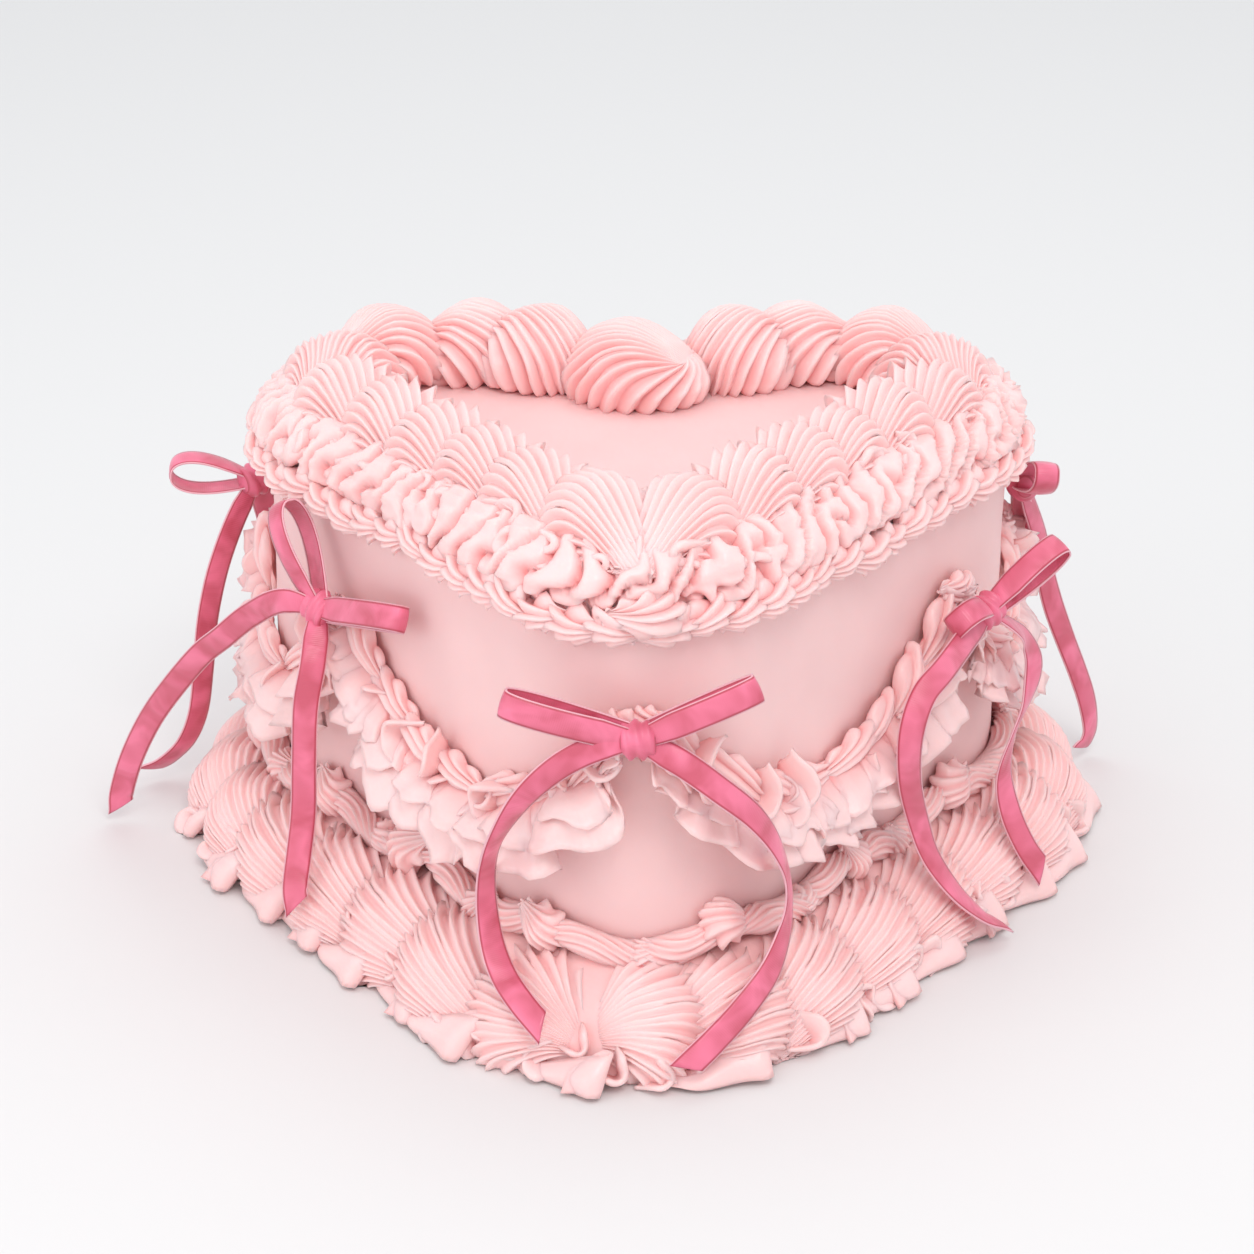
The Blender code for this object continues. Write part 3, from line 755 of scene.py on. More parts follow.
class PipingTree:
    """Geometry Nodes tree that sets pieces on points, turns and sizes each, and settles them together."""

    INPUTS = (
        ("Geometry", "NodeSocketGeometry", None),
        ("Pieces", "NodeSocketCollection", None),
        ("Icing", "NodeSocketMaterial", None),
        ("Size", "NodeSocketFloat", 1.0),
        ("Size Spread", "NodeSocketFloat", 0.05),
        ("Turn Spread", "NodeSocketFloat", 0.06),
        ("Wobble", "NodeSocketFloat", 0.0004),
        ("Wobble Scale", "NodeSocketFloat", 90.0),
        ("Seed", "NodeSocketInt", 1),
    )
    SEED_STEP = 101.0

    def __init__(self) -> None:
        """Build the tree once, for every border to share."""
        self.tree = bpy.data.node_groups.new("piped_pieces_on_points", "GeometryNodeTree")
        face = self.tree.interface
        for name, kind, value in self.INPUTS:
            socket = face.new_socket(name, in_out="INPUT", socket_type=kind)
            if value is not None:
                socket.default_value = value
        face.new_socket("Geometry", in_out="OUTPUT", socket_type="NodeSocketGeometry")
        self._wire()

    def _wire(self) -> None:
        """Add the nodes and join them up."""
        tree = Wiring(self.tree)
        given = tree.add("NodeGroupInput").outputs
        stop = {}
        for key, kind in (("turn", "FLOAT_VECTOR"), ("grow", "FLOAT_VECTOR"), ("variant", "INT")):
            node = tree.add("GeometryNodeInputNamedAttribute", {"Name": key}, data_type=kind)
            stop[key] = node.outputs["Attribute"]
        span = {0: (-1.0,) * 3, 1: (1.0,) * 3, "Seed": given["Seed"]}
        jitter = tree.add("FunctionNodeRandomValue", span, data_type="FLOAT_VECTOR").outputs[0]
        own, swing = (
            tree.add("FunctionNodeEulerToRotation", {"Euler": euler}).outputs["Rotation"]
            for euler in (stop["turn"], tree.scaled(jitter, given["Turn Spread"]))
        )
        turned = tree.add(
            "FunctionNodeRotateRotation", {"Rotation": own, "Rotate By": swing}, rotation_space="LOCAL"
        )
        span = {2: -1.0, 3: 1.0, "Seed": tree.math("ADD", given["Seed"], self.SEED_STEP)}
        spread = tree.add("FunctionNodeRandomValue", span, data_type="FLOAT").outputs[1]
        share = tree.math("MULTIPLY_ADD", spread, given["Size Spread"], given["Size"])
        pieces = tree.add(
            "GeometryNodeCollectionInfo",
            {"Collection": given["Pieces"], "Separate Children": True, "Reset Children": True},
        )
        placed = tree.add("GeometryNodeInstanceOnPoints", {
            "Points": given["Geometry"],
            "Instance": pieces.outputs["Instances"],
            "Pick Instance": True,
            "Instance Index": stop["variant"],
            "Rotation": turned.outputs["Rotation"],
            "Scale": tree.scaled(stop["grow"], share),
        })
        real = tree.add("GeometryNodeRealizeInstances", {"Geometry": placed.outputs["Instances"]})
        noise = tree.add("ShaderNodeTexNoise", {"Scale": given["Wobble Scale"], "Detail": 1.0})
        noise = {0: noise.outputs["Color"], 1: (0.5,) * 3}
        middle = tree.add("ShaderNodeVectorMath", noise, operation="SUBTRACT")
        push = tree.scaled(middle.outputs["Vector"], given["Wobble"])
        settled = tree.add("GeometryNodeSetPosition", {"Geometry": real.outputs["Geometry"], "Offset": push})
        dressed = tree.add(
            "GeometryNodeSetMaterial", {"Geometry": settled.outputs["Geometry"], "Material": given["Icing"]}
        )
        tree.add("NodeGroupOutput", {"Geometry": dressed.outputs["Geometry"]})

    def piece(
        self, name: str, forms: list[Form], stops: list[Stop], icing: Material, **sizes: float
    ) -> Mesh:
        """Set forms on stops and give the result as one plain mesh.

        Args:
            name: Name of the mesh.
            forms: The variants, which each stop picks by number.
            stops: The places.
            icing: The finish.
            **sizes: Values for the tree's inputs, by name with _ for a space.

        Returns:
            The mesh.
        """
        tray = bpy.data.collections.new(name + "_variants")
        for i, form in enumerate(forms):
            tray.objects.link(bpy.data.objects.new(f"{name}_{i:03d}", form.mesh(f"{name}_{i:03d}")))
        dots = bpy.data.meshes.new(name + "_points")
        dots.from_pydata([tuple(map(float, stop.place)) for stop in stops], [], [])
        grown = [np.broadcast_to(stop.grow, 3) for stop in stops]
        for key, rows in (("turn", [stop.euler() for stop in stops]), ("grow", grown)):
            attribute = dots.attributes.new(key, "FLOAT_VECTOR", "POINT")
            attribute.data.foreach_set("vector", np.array(rows, np.float32).ravel())
        chosen = dots.attributes.new("variant", "INT", "POINT")
        chosen.data.foreach_set("value", np.array([stop.variant for stop in stops], np.int32))
        holder = bpy.data.objects.new(name + "_points", dots)
        bpy.context.scene.collection.objects.link(holder)
        modifier = holder.modifiers.new("piping", "NODES")
        modifier.node_group = self.tree
        values = {"Pieces": tray, "Icing": icing}
        values.update({key.replace("_", " "): value for key, value in sizes.items()})
        for item in self.tree.interface.items_tree:
            if item.in_out == "INPUT" and item.name in values:
                modifier[item.identifier] = values[item.name]
        graph = bpy.context.evaluated_depsgraph_get()
        graph.update()
        mesh = bpy.data.meshes.new_from_object(holder.evaluated_get(graph))
        mesh.name = name
        holder.modifiers.remove(modifier)
        bpy.data.objects.remove(holder)
        for child in list(tray.objects):
            bpy.data.objects.remove(child)
        bpy.data.collections.remove(tray)
        mesh.polygons.foreach_set("use_smooth", [True] * len(mesh.polygons))
        return mesh


@dataclass
class CakeBody:
    """The iced cake itself: a spread coat of smooth icing, with the faint unevenness of a palette knife."""

    heart: Heart
    edge_round: float = 0.003
    stations: int = 400
    rows: int = 24
    edge_rows: int = 4
    top_rings: int = 16
    sunk: float = 0.0004
    unevenness: float = 0.00045
    middle_y: float = 0.010

    def build(self, icing: Material) -> None:
        """Model the side and the top and show them."""
        heart = self.heart
        arcs = np.linspace(-heart.half_turn, heart.half_turn, self.stations, endpoint=False)
        share = (arcs + heart.half_turn) / (2 * heart.half_turn)
        slow, quick = Wander(3, 2, 9), Wander(4, 6, 22)
        rings = []
        for row, height in enumerate(np.linspace(0.0, heart.height - self.edge_round, self.rows)):
            level = row / self.rows
            dent = slow.at(share + 0.23 * level) + 0.4 * quick.at(share + 0.61 * level)
            rings.append(heart.place(arcs, -self.sunk + self.unevenness * dent, height))
        for turn in np.linspace(0.2, 1.0, self.edge_rows) * math.pi / 2:
            inset, drop = self.edge_round * (1 - math.cos(turn)), self.edge_round * (1 - math.sin(turn))
            rings.append(heart.place(arcs, -self.sunk - inset, heart.height - drop))
        outer = rings[-1]
        middle = np.array((0.0, self.middle_y, heart.height))
        for step in np.linspace(0.0, 1.0, self.top_rings + 1)[1:-1]:
            ring = outer + (middle - outer) * step
            spread = slow.at(share + 0.8 * step) * 0.35 + quick.at(share + step) * 0.12
            ring[:, 2] = heart.height - self.sunk + self.unevenness * spread * (1 - step)
            rings.append(ring)
        points = np.concatenate(rings + [middle[None, :] - UP * self.sunk, np.zeros((1, 3))])
        faces = grid_faces(len(rings), self.stations, True)
        last = (len(rings) - 1) * self.stations
        peak, foot = len(rings) * self.stations, len(rings) * self.stations + 1
        for c in range(self.stations):
            after = (c + 1) % self.stations
            faces += [(last + c, last + after, peak), (after, c, foot)]
        form = Form(points, faces, np.zeros(len(points))).turned_out()
        finished("smooth_cake_body", form.mesh("smooth_cake_body"), icing, ["cake_body"])


@dataclass
class Border:
    """What all piped borders share: the outline that they follow and the tree that sets their pieces."""

    heart: Heart
    piping: PipingTree

    def show(
        self, name: str, forms: list[Form], stops: list[Stop], icing: Material, nodes: list[str],
        **sizes: float,
    ) -> None:
        """Pipe forms on stops, press flat what would sink below the floor, and show the piece.

        Args:
            name: Name of the piece.
            forms: The variants, which each stop picks by number.
            stops: The places.
            icing: The finish.
            nodes: The CAD nodes that it stands for.
            **sizes: Values for the tree's inputs, by name with _ for a space.
        """
        mesh = self.piping.piece(name, forms, stops, icing, **sizes)
        places = np.zeros(len(mesh.vertices) * 3)
        mesh.vertices.foreach_get("co", places)
        places[2::3] = np.maximum(places[2::3], 0.0)
        mesh.vertices.foreach_set("co", places)
        finished(name, mesh, icing, nodes)

    def arc(self, number: int, count: int, rng: np.random.Generator, jitter: float) -> float:
        """Give the middle of one of several equal parts of the outline, moved by up to a share of a part."""
        return ((number + 0.5 + rng.uniform(-jitter, jitter)) / count * 2 - 1) * self.heart.half_turn


def spun(along: np.ndarray, stands: np.ndarray, spin: float) -> np.ndarray:
    """Turn a direction round another by an angle."""
    return along * math.cos(spin) + np.cross(stands, along) * math.sin(spin)


@dataclass
class TopShells(Border):
    """The border of large fluted shells round the top, with their tails near the edge and their heads in."""

    inner: float = -0.0335
    outer: float = -0.0054
    per_side: int = 10
    centre_shell: float = 0.024
    tip_shell: float = 0.026
    ramp: float = 0.17
    back_arc: float = 0.175
    head_offset: float = -0.0205
    tail_offset: float = -0.0090
    reach: float = 0.0340
    tip_reach: float = 0.0300
    variants: int = 5
    shape: FanShell = field(
        default_factory=lambda: FanShell(
            length=0.0420, width=0.0310, height=0.0205, flutes=22, comb_depth=0.0046, hood_depth=0.0023,
            tooth=0.0030, spread=0.62, gather=0.25, rounding=1.30, hood_tooth=0.05, keen=1.1, flare_at=0.58,
            columns=8, rows=20,
        )
    )
    back_shape: FanShell = field(
        default_factory=lambda: FanShell(
            length=0.0420, width=0.0330, height=0.0215, flutes=28, comb_depth=0.0027, hood_depth=0.0019,
            tooth=0.0020, swirl=-0.85, spread=0.30, gather=0.15, rounding=1.3, hood_tooth=0.3, rows=21,
        )
    )

    @property
    def crest(self) -> float:
        """Offset of the border's middle."""
        return (self.inner + self.outer) / 2

    def stops(self) -> list[Stop]:
        """Place the shells: one in the cleft and per_side down each side, heads toward the cleft."""
        heart, top = self.heart, self.heart.height - 0.0008
        fine = heart.spaced(self.crest, self.centre_shell / 2, self.tip_shell, 400)
        share = np.linspace(0, 1, self.per_side)
        share = share + self.ramp * np.sin(math.pi * share) / math.pi
        starts = np.concatenate((np.interp(share, np.linspace(0, 1, 401), fine), (0.0,)))
        rng = np.random.default_rng(11)
        stops = []
        for hand in Hand:
            for i in range(self.per_side):
                pitch = starts[i] - starts[i + 1]
                front = starts[i] - 0.42 * pitch
                last = i == self.per_side - 1
                behind = max(front - (self.tip_reach if last else self.reach), -0.002)
                head = heart.place(hand.value * front, self.head_offset, top)
                tail = heart.place(hand.value * behind, -0.0035 if last else self.tail_offset, top)
                along = unit(head - tail)
                long = 1.0 if last else rng.uniform(0.95, 1.05)
                size = (long, rng.uniform(0.95, 1.05), rng.uniform(0.94, 1.04))
                middle = head - along * (0.17 * self.shape.length)
                out = heart.outward(hand.value * front, self.crest)
                variant = int(rng.integers(self.variants)) * 2 + (hand is Hand.RIGHT)
                variant += 2 * self.variants * (starts[i] > self.back_arc)
                stops.append(Stop(middle, along, UP + out * 0.06, size, variant))
        centre = heart.place(heart.half_turn, self.crest + 0.001, top)
        stops.append(Stop(centre, np.array((-1.0, 0.35, 0.0)), UP, (0.92, 1.0, 1.0), 4 * self.variants))
        return stops

    def build(self, icing: Material) -> None:
        """Pipe the shells and show them."""
        forms = self.shape.pairs(self.variants, 40) + self.back_shape.pairs(self.variants, 60)
        forms.append(replace(self.back_shape, tail=0.75, egg=0.12, pole=0.78).form(66, Hand.RIGHT))
        sizes = {"Seed": 5, "Size_Spread": 0.02, "Turn_Spread": 0.05, "Wobble": 0.0011}
        self.show("piped_top_shells", forms, self.stops(), icing, ["top_shells"], **sizes)


@dataclass(frozen=True)
class RuffleRow:
    """One row of folds round the top edge: its root, which way it stands, its pitch and its size."""

    offset: float
    height: float
    outwards: float
    upwards: float
    pitch: float
    size: float


@dataclass
class TopRuffle(Border):
    """The layered ruffle of folded icing between the large shells and the top edge."""

    stations: int = 1400
    around: int = 28
    fold_pitch: float = 0.0084
    fold_depth: float = 0.0058
    sweep: tuple[float, float] = (0.004, 0.040)
    calm_from: float = 0.035
    calm_share: float = 0.55
    section: tuple[tuple[float, float], ...] = (
        (-0.0130, -0.0010), (-0.0130, 0.0060), (-0.0090, 0.0078), (-0.0040, 0.0068), (0.0000, 0.0042),
        (0.0022, 0.0008), (0.0020, -0.0026), (-0.0004, -0.0040), (-0.0050, -0.0030),
    )
    rows: tuple[RuffleRow, ...] = (
        RuffleRow(-0.0090, 0.0045, 0.75, 0.66, 0.0205, 0.80),
        RuffleRow(-0.0058, 0.0036, 1.00, 0.40, 0.0240, 0.80),
        RuffleRow(-0.0040, 0.0028, 1.00, 0.20, 0.0210, 0.70),
    )
    loops: tuple[PetalFold, ...] = (
        PetalFold(length=0.028, height=0.0070, bends=(3.1,), flare=0.08, lean=0.10),
        PetalFold(length=0.034, height=0.0066, bends=(2.9, -2.9), flare=0.05, lean=0.10, along=30),
        PetalFold(length=0.032, height=0.0070, bends=(-3.2, 1.4), flare=0.08, lean=0.10, along=30),
        PetalFold(length=0.040, height=0.0064, bends=(2.6, -3.0, 2.2), flare=0.05, lean=0.10, along=36),
    )

    def band(self) -> Form:
        """Crumple a band over the top edge, with folds across it at the left and along it at the right."""
        heart = self.heart
        share = np.arange(self.stations)[:, None] / self.stations
        arc = share * 2 * heart.half_turn - heart.half_turn
        knots = np.linspace(0, 1, len(self.section))
        q = np.linspace(0, 1, self.around, endpoint=False)
        offset, height = (
            np.convolve(np.pad(np.interp(q, knots, side), 2, mode="wrap"), np.full(5, 0.2), mode="valid")
            for side in zip(*self.section)
        )
        tangent = np.stack([np.roll(side, -1) - np.roll(side, 1) for side in (offset, height)], -1)
        normal = unit(np.stack((-tangent[:, 1], tangent[:, 0]), -1))
        loose, second, third = Wander(61, 10, 60), Wander(62, 10, 60), Wander(63, 5, 40)
        sweep = self.sweep[0] + (self.sweep[1] - self.sweep[0]) * smoothstep(-0.06, 0.16, arc)
        place = arc + sweep * (q[None, :] - 0.45)
        place = place + 0.0022 * (loose.at(share) * np.cos(TAU * q) + second.at(share) * np.sin(TAU * q))
        place = place + 0.0026 * np.sin(TAU * (1.7 * q[None, :] + 0.5 * third.at(share)))
        fold = np.abs(np.sin(math.pi * place / self.fold_pitch))
        high = self.fold_depth * (0.80 + 0.35 * third.at(share + 0.4 * q[None, :]))
        lift = high * (1 - (1 - fold) ** 1.9 - 0.55)
        lips = smoothstep(0.10, 0.20, q) * (1 - smoothstep(0.80, 0.92, q))
        lift = lift * lips
        points = heart.place(arc, offset + lift * normal[:, 0], heart.height + height + lift * normal[:, 1])
        # Painted shade down in the folds' valleys, none on the smooth edges of the band.
        groove_shade = np.clip((1 - fold) ** 1.6 * lips, 0, 1)
        return swept_ring(points, groove_shade)

    def build(self, icing: Material) -> None:
        """Fold the rows of ruffle over the crumpled band and show them."""
        heart = self.heart
        rng = np.random.default_rng(17)
        kinds = 2 * len(self.loops)
        stops = []
        for row in self.rows:
            count = round(2 * heart.half_turn / row.pitch)
            for i in range(count):
                arc = (i + rng.uniform(-0.3, 0.3)) / count * 2 * heart.half_turn - heart.half_turn
                if arc > self.calm_from and rng.random() < self.calm_share:
                    continue
                offset = row.offset + rng.uniform(-0.0010, 0.0010)
                place = heart.place(arc, offset, heart.height + row.height + rng.uniform(-0.0006, 0.0006))
                out = heart.outward(arc, offset)
                along = np.cross(UP, out)
                spin = rng.uniform(-0.40, 0.40) + (math.pi if rng.random() < 0.5 else 0.0)
                stands = unit(out * row.outwards + UP * row.upwards + along * rng.uniform(-0.25, 0.25))
                size = row.size * rng.uniform(0.82, 1.15)
                stops.append(Stop(place, spun(along, stands, spin), stands, size, int(rng.integers(kinds))))
        forms = [fold.form(140 + i) for i, fold in enumerate(self.loops)]
        forms += [fold.form(160 + i).mirrored() for i, fold in enumerate(self.loops)]
        sizes = {"Seed": 7, "Size_Spread": 0.04, "Turn_Spread": 0.05, "Wobble": 0.0016}
        self.show("folded_top_ruffle", forms, stops, icing, ["top_ruffle"], **sizes)
        band = self.band().mesh("crumpled_top_band")
        finished("crumpled_top_band", band, icing, [])


@dataclass
class RimBeads(Border):
    """The row of small ragged shells under the top edge."""

    per_side: int = 31
    centre_bead: float = 0.010
    bottom: float = 0.0152
    depth: float = 0.0068
    variants: int = 5
    shape: FanShell = field(
        default_factory=lambda: FanShell(
            length=0.0175, width=0.0092, height=0.0070, flutes=9, comb_depth=0.0022, hood_depth=0.0019,
            tooth=0.0014, tail=0.18, egg=0.72, rounding=1.3, hood_tooth=0.8, flare_at=0.62, rows=13,
            unevenness=0.4,
        )
    )

    def build(self, icing: Material) -> None:
        """Pipe the beads along the wall and show them."""
        heart = self.heart
        starts = heart.spaced(self.depth, self.centre_bead / 2, 0.0, self.per_side)
        rng = np.random.default_rng(12)
        stops = []
        for hand in Hand:
            for i in range(self.per_side):
                head, tail = starts[i] * hand.value, starts[i + 1] * hand.value
                middle = (head + tail) / 2
                height = heart.height - self.bottom / 2 + rng.uniform(-0.0012, 0.0012)
                place = heart.place(middle, 0.0, height)
                ahead = heart.place(head, 0.0, height) - heart.place(tail, 0.0, height)
                grow = (rng.uniform(0.9, 1.12), rng.uniform(0.9, 1.1), rng.uniform(0.85, 1.1))
                out = heart.outward(middle)
                lean = unit(ahead) + UP * rng.uniform(-0.1, 0.45)
                variant = int(rng.integers(self.variants)) * 2 + (hand is Hand.RIGHT)
                stops.append(Stop(place - out * 0.0004, lean, out, grow, variant))
        for arc, drop, size in ((heart.half_turn, self.bottom / 2, 1.0), (0.0, 0.0045, 1.15)):
            place = heart.place(arc, 0.001, heart.height - drop)
            stops.append(Stop(place, np.array((1.0, 0, 0.1)), heart.outward(arc), size))
        forms = self.shape.pairs(self.variants, 70)
        sizes = {"Seed": 8, "Size_Spread": 0.05, "Turn_Spread": 0.10, "Wobble": 0.0009, "Wobble_Scale": 160.0}
        self.show("piped_rim_beads", forms, stops, icing, ["rim_beads"], **sizes)


@dataclass(frozen=True)
class FootFold:
    """One smooth foot of icing: a low sheet that widens as it runs along, and folds back at its end.

    It lies on z = 0 and runs toward +x with its outer face toward +y.
    """

    length: float = 0.0330
    height: float = 0.0084
    back: float = 0.0020
    turn: float = 3.3
    folded: float = 0.72
    bulge: float = 0.0020
    lean: float = 0.85
    thickness: float = 0.0014
    along: int = 32
    rows: int = 8

    def form(self, seed: int) -> Form:
        """Shape one foot, with a little unevenness of its own."""
        rng = np.random.default_rng(seed)
        u = np.linspace(0.0, 1.0, self.along)
        fold = self.folded + rng.uniform(-0.05, 0.05)
        folded = self.turn * rng.uniform(0.85, 1.1) * smoothstep(fold - 0.09, fold + 0.09, u)
        heading = 0.30 - 0.55 * u - folded
        heading += 0.25 * np.sin(TAU * (u * 1.6 + rng.uniform()))
        steps = np.stack((np.cos(heading), np.sin(heading)), -1) * self.length / (self.along - 1)
        path = np.cumsum(steps, axis=0)
        path[:, 0] -= self.length * 0.40
        high = self.back + (self.height * rng.uniform(0.85, 1.15) - self.back) * smoothstep(0.1, fold, u)
        high = high * (0.55 + 0.45 * smoothstep(1.02, 0.80, u))
        v = np.linspace(0.0, 1.0, self.rows)[:, None]
        before = 1 - smoothstep(fold - 0.1, fold, u)
        round_out = self.bulge * np.sin(math.pi * v) * smoothstep(0.0, 0.4, u) * before
        x = np.broadcast_to(path[:, 0], (self.rows, self.along))
        y = path[:, 1] - self.lean * high * v**0.9 + round_out
        z = high * v
        full = 0.5 + 0.5 * np.sin(math.pi * np.clip(u, 0.06, 0.94)) ** 0.5
        thick = self.thickness * (1.25 - 0.5 * v) * full
        # Painted shade, darker at the foot's bottom edge and past its fold where it doubles back.
        groove_shade = 0.35 * (1 - v) + 0.2 * smoothstep(fold, fold + 0.1, u)
        return thick_sheet(np.stack((x, y, z + 0.0011), -1), thick, np.clip(groove_shade, 0, 1)).turned_out()


@dataclass
class BaseShells(Border):
    """The border of large fluted shells in the corner at the foot of the cake, with feet and curls below."""

    per_side: int = 13
    centre_shell: float = 0.018
    height: float = 0.0215
    depth: float = 0.0275
    overlap: float = 1.78
    raised: float = 0.13
    toward_wall: tuple[float, float] = (0.12, 0.28)
    variants: int = 5
    foot_offset: float = 0.0262
    feet_count: int = 28
    kinds: int = 4
    curl_count: int = 100
    foot: FootFold = FootFold()
    curl: PetalFold = PetalFold(
        length=0.015, height=0.0056, bends=(2.4,), flare=0.25, lean=0.45, thickness=0.0016
    )
    shape: FanShell = field(
        default_factory=lambda: FanShell(
            length=0.0480, width=0.0330, height=0.0135, flutes=29, comb_depth=0.0034, hood_depth=0.0025,
            tooth=0.0026, tail=0.30, egg=0.34, rim=0.14, swirl=0.25, spread=0.60, gather=0.42, rounding=1.30,
            hood_tooth=0.05, keen=0.5, columns=5, rows=18, unevenness=0.34,
        )
    )
    tip_shape: FanShell = field(
        default_factory=lambda: FanShell(
            length=0.0380, width=0.0370, height=0.0130, flutes=25, comb_depth=0.0034, hood_depth=0.0026,
            tooth=0.0028, tail=0.22, egg=0.80, rim=0.14, spread=0.10, gather=0.62, rounding=1.30,
            hood_tooth=0.1, columns=5, rows=18, unevenness=0.30,
        )
    )

    def stop(self, hand: Hand, head: float, tail: float, rng: np.random.Generator, length: float) -> Stop:
        """Set one shell between two arcs, tilted out over the corner; a length of 0 goes by the overlap."""
        heart = self.heart
        half_out, half_up = self.depth * 0.42, self.height * 0.54
        at_head = heart.place(head, half_out, half_up)
        at_tail = heart.place(tail, half_out, half_up)
        pitch = float(np.linalg.norm(at_head - at_tail))
        out = heart.outward((head + tail) / 2)
        up = unit(out * self.height + UP * self.depth)
        to_wall = unit(UP * self.height - out * self.depth)
        along = unit(unit(at_head - at_tail) + to_wall * rng.uniform(*self.toward_wall) + up * self.raised)
        tip = length > 0
        length = length or pitch * self.overlap
        middle = at_head - along * (length / 2 - (0.10 if tip else 0.28) * pitch) - up * 0.0006
        long = length / (self.tip_shape if tip else self.shape).length
        grow = (long, rng.uniform(0.96, 1.05), rng.uniform(0.95, 1.1))
        variant = (self.variants if tip else int(rng.integers(self.variants))) * 2 + (hand is Hand.RIGHT)
        return Stop(middle, along, up, grow, variant)

    def stops(self) -> list[Stop]:
        """Place the shells, heads toward the back; the last on the right reaches across the point."""
        heart = self.heart
        rng = np.random.default_rng(13)
        stops = []
        for hand, last in ((Hand.LEFT, 0.0210), (Hand.RIGHT, 0.0110)):
            starts = heart.spaced(0.7 * self.depth, self.centre_shell / 2, last, self.per_side)
            for i in range(self.per_side):
                near_tip = i == self.per_side - 1 and hand is Hand.LEFT
                length = 0.0400 if near_tip else 0.0
                stops.append(self.stop(hand, starts[i] * hand.value, starts[i + 1] * hand.value, rng, length))
        stops.append(self.stop(Hand.RIGHT, 0.0105, -0.0120, rng, 0.0370))
        out = heart.outward(heart.half_turn)
        up = unit(out * self.height + UP * self.depth)
        centre = heart.place(heart.half_turn, self.depth / 2, self.height / 2)
        stops.append(Stop(centre, np.array((1.0, 0.0, 0.0)), up, (0.7, 0.95, 1.0), 0))
        return stops

    def feet(self) -> tuple[list[Form], list[Stop]]:
        """Lay a smooth foot out from under each shell, and small curls between the feet and the shells."""
        heart = self.heart
        rng = np.random.default_rng(14)
        stops = []
        for i in range(self.feet_count):
            arc = self.arc(i, self.feet_count, rng, 0.12)
            out = heart.outward(arc, self.foot_offset)
            along = np.cross(UP, out)
            place = heart.place(arc, self.foot_offset + rng.uniform(-0.0012, 0.0008), 0.0)
            size = rng.uniform(0.9, 1.15)
            turned = along + out * rng.uniform(0.12, 0.26)
            stops.append(Stop(place, turned, UP, (size * 1.05, size, size), int(rng.integers(self.kinds))))
        for i in range(self.curl_count):
            arc = self.arc(i, self.curl_count, rng, 0.3)
            out = heart.outward(arc, self.foot_offset)
            down = rng.uniform(0.0, 1.0)
            place = heart.place(arc, 0.0175 + 0.0065 * down, 0.0090 - 0.0065 * down)
            stands = unit(out + UP * rng.uniform(0.2, 0.7))
            spin = rng.uniform(-0.7, 0.7) + (math.pi if rng.random() < 0.5 else 0.0)
            forward = spun(np.cross(UP, out), stands, spin)
            size = rng.uniform(0.75, 1.2)
            stops.append(Stop(place, forward, stands, size, self.kinds + int(rng.integers(self.kinds))))
        forms = [self.foot.form(210 + i).mirrored() for i in range(self.kinds)]
        forms += [self.curl.form(220 + i) for i in range(self.kinds)]
        return forms, stops

    def core(self) -> Form:
        """Fill the corner under the shells."""
        arcs = np.linspace(-self.heart.half_turn, self.heart.half_turn, 420, endpoint=False)[:, None]
        share = np.array(
            ((0.0, 0.0), (-0.03, 1.10), (0.13, 1.06), (0.46, 0.75), (0.72, 0.40), (0.84, 0.10), (0.84, 0.0))
        )
        points = self.heart.place(arcs, share[:, 0] * self.depth, share[:, 1] * self.height)
        # The whole core gets a painted shade of 0.35, as the corner under the shells lies in shade.
        return swept_ring(points, np.full((1, 1), 0.35))

    def build(self, icing: Material) -> None:
        """Pipe the shells over the core, lay the feet and show them."""
        forms = self.shape.pairs(self.variants, 90) + self.tip_shape.pairs(1, 99)
        sizes = {"Seed": 9, "Size_Spread": 0.03, "Turn_Spread": 0.07, "Wobble": 0.0012}
        self.show("piped_base_shells", forms, self.stops(), icing, ["base_shells"], **sizes)
        finished("base_border_core", self.core().mesh("base_border_core"), icing, [])
        forms, stops = self.feet()
        sizes = {"Seed": 10, "Size_Spread": 0.03, "Turn_Spread": 0.04, "Wobble": 0.0008}
        self.show("folded_base_feet", forms, stops, icing, [], **sizes)


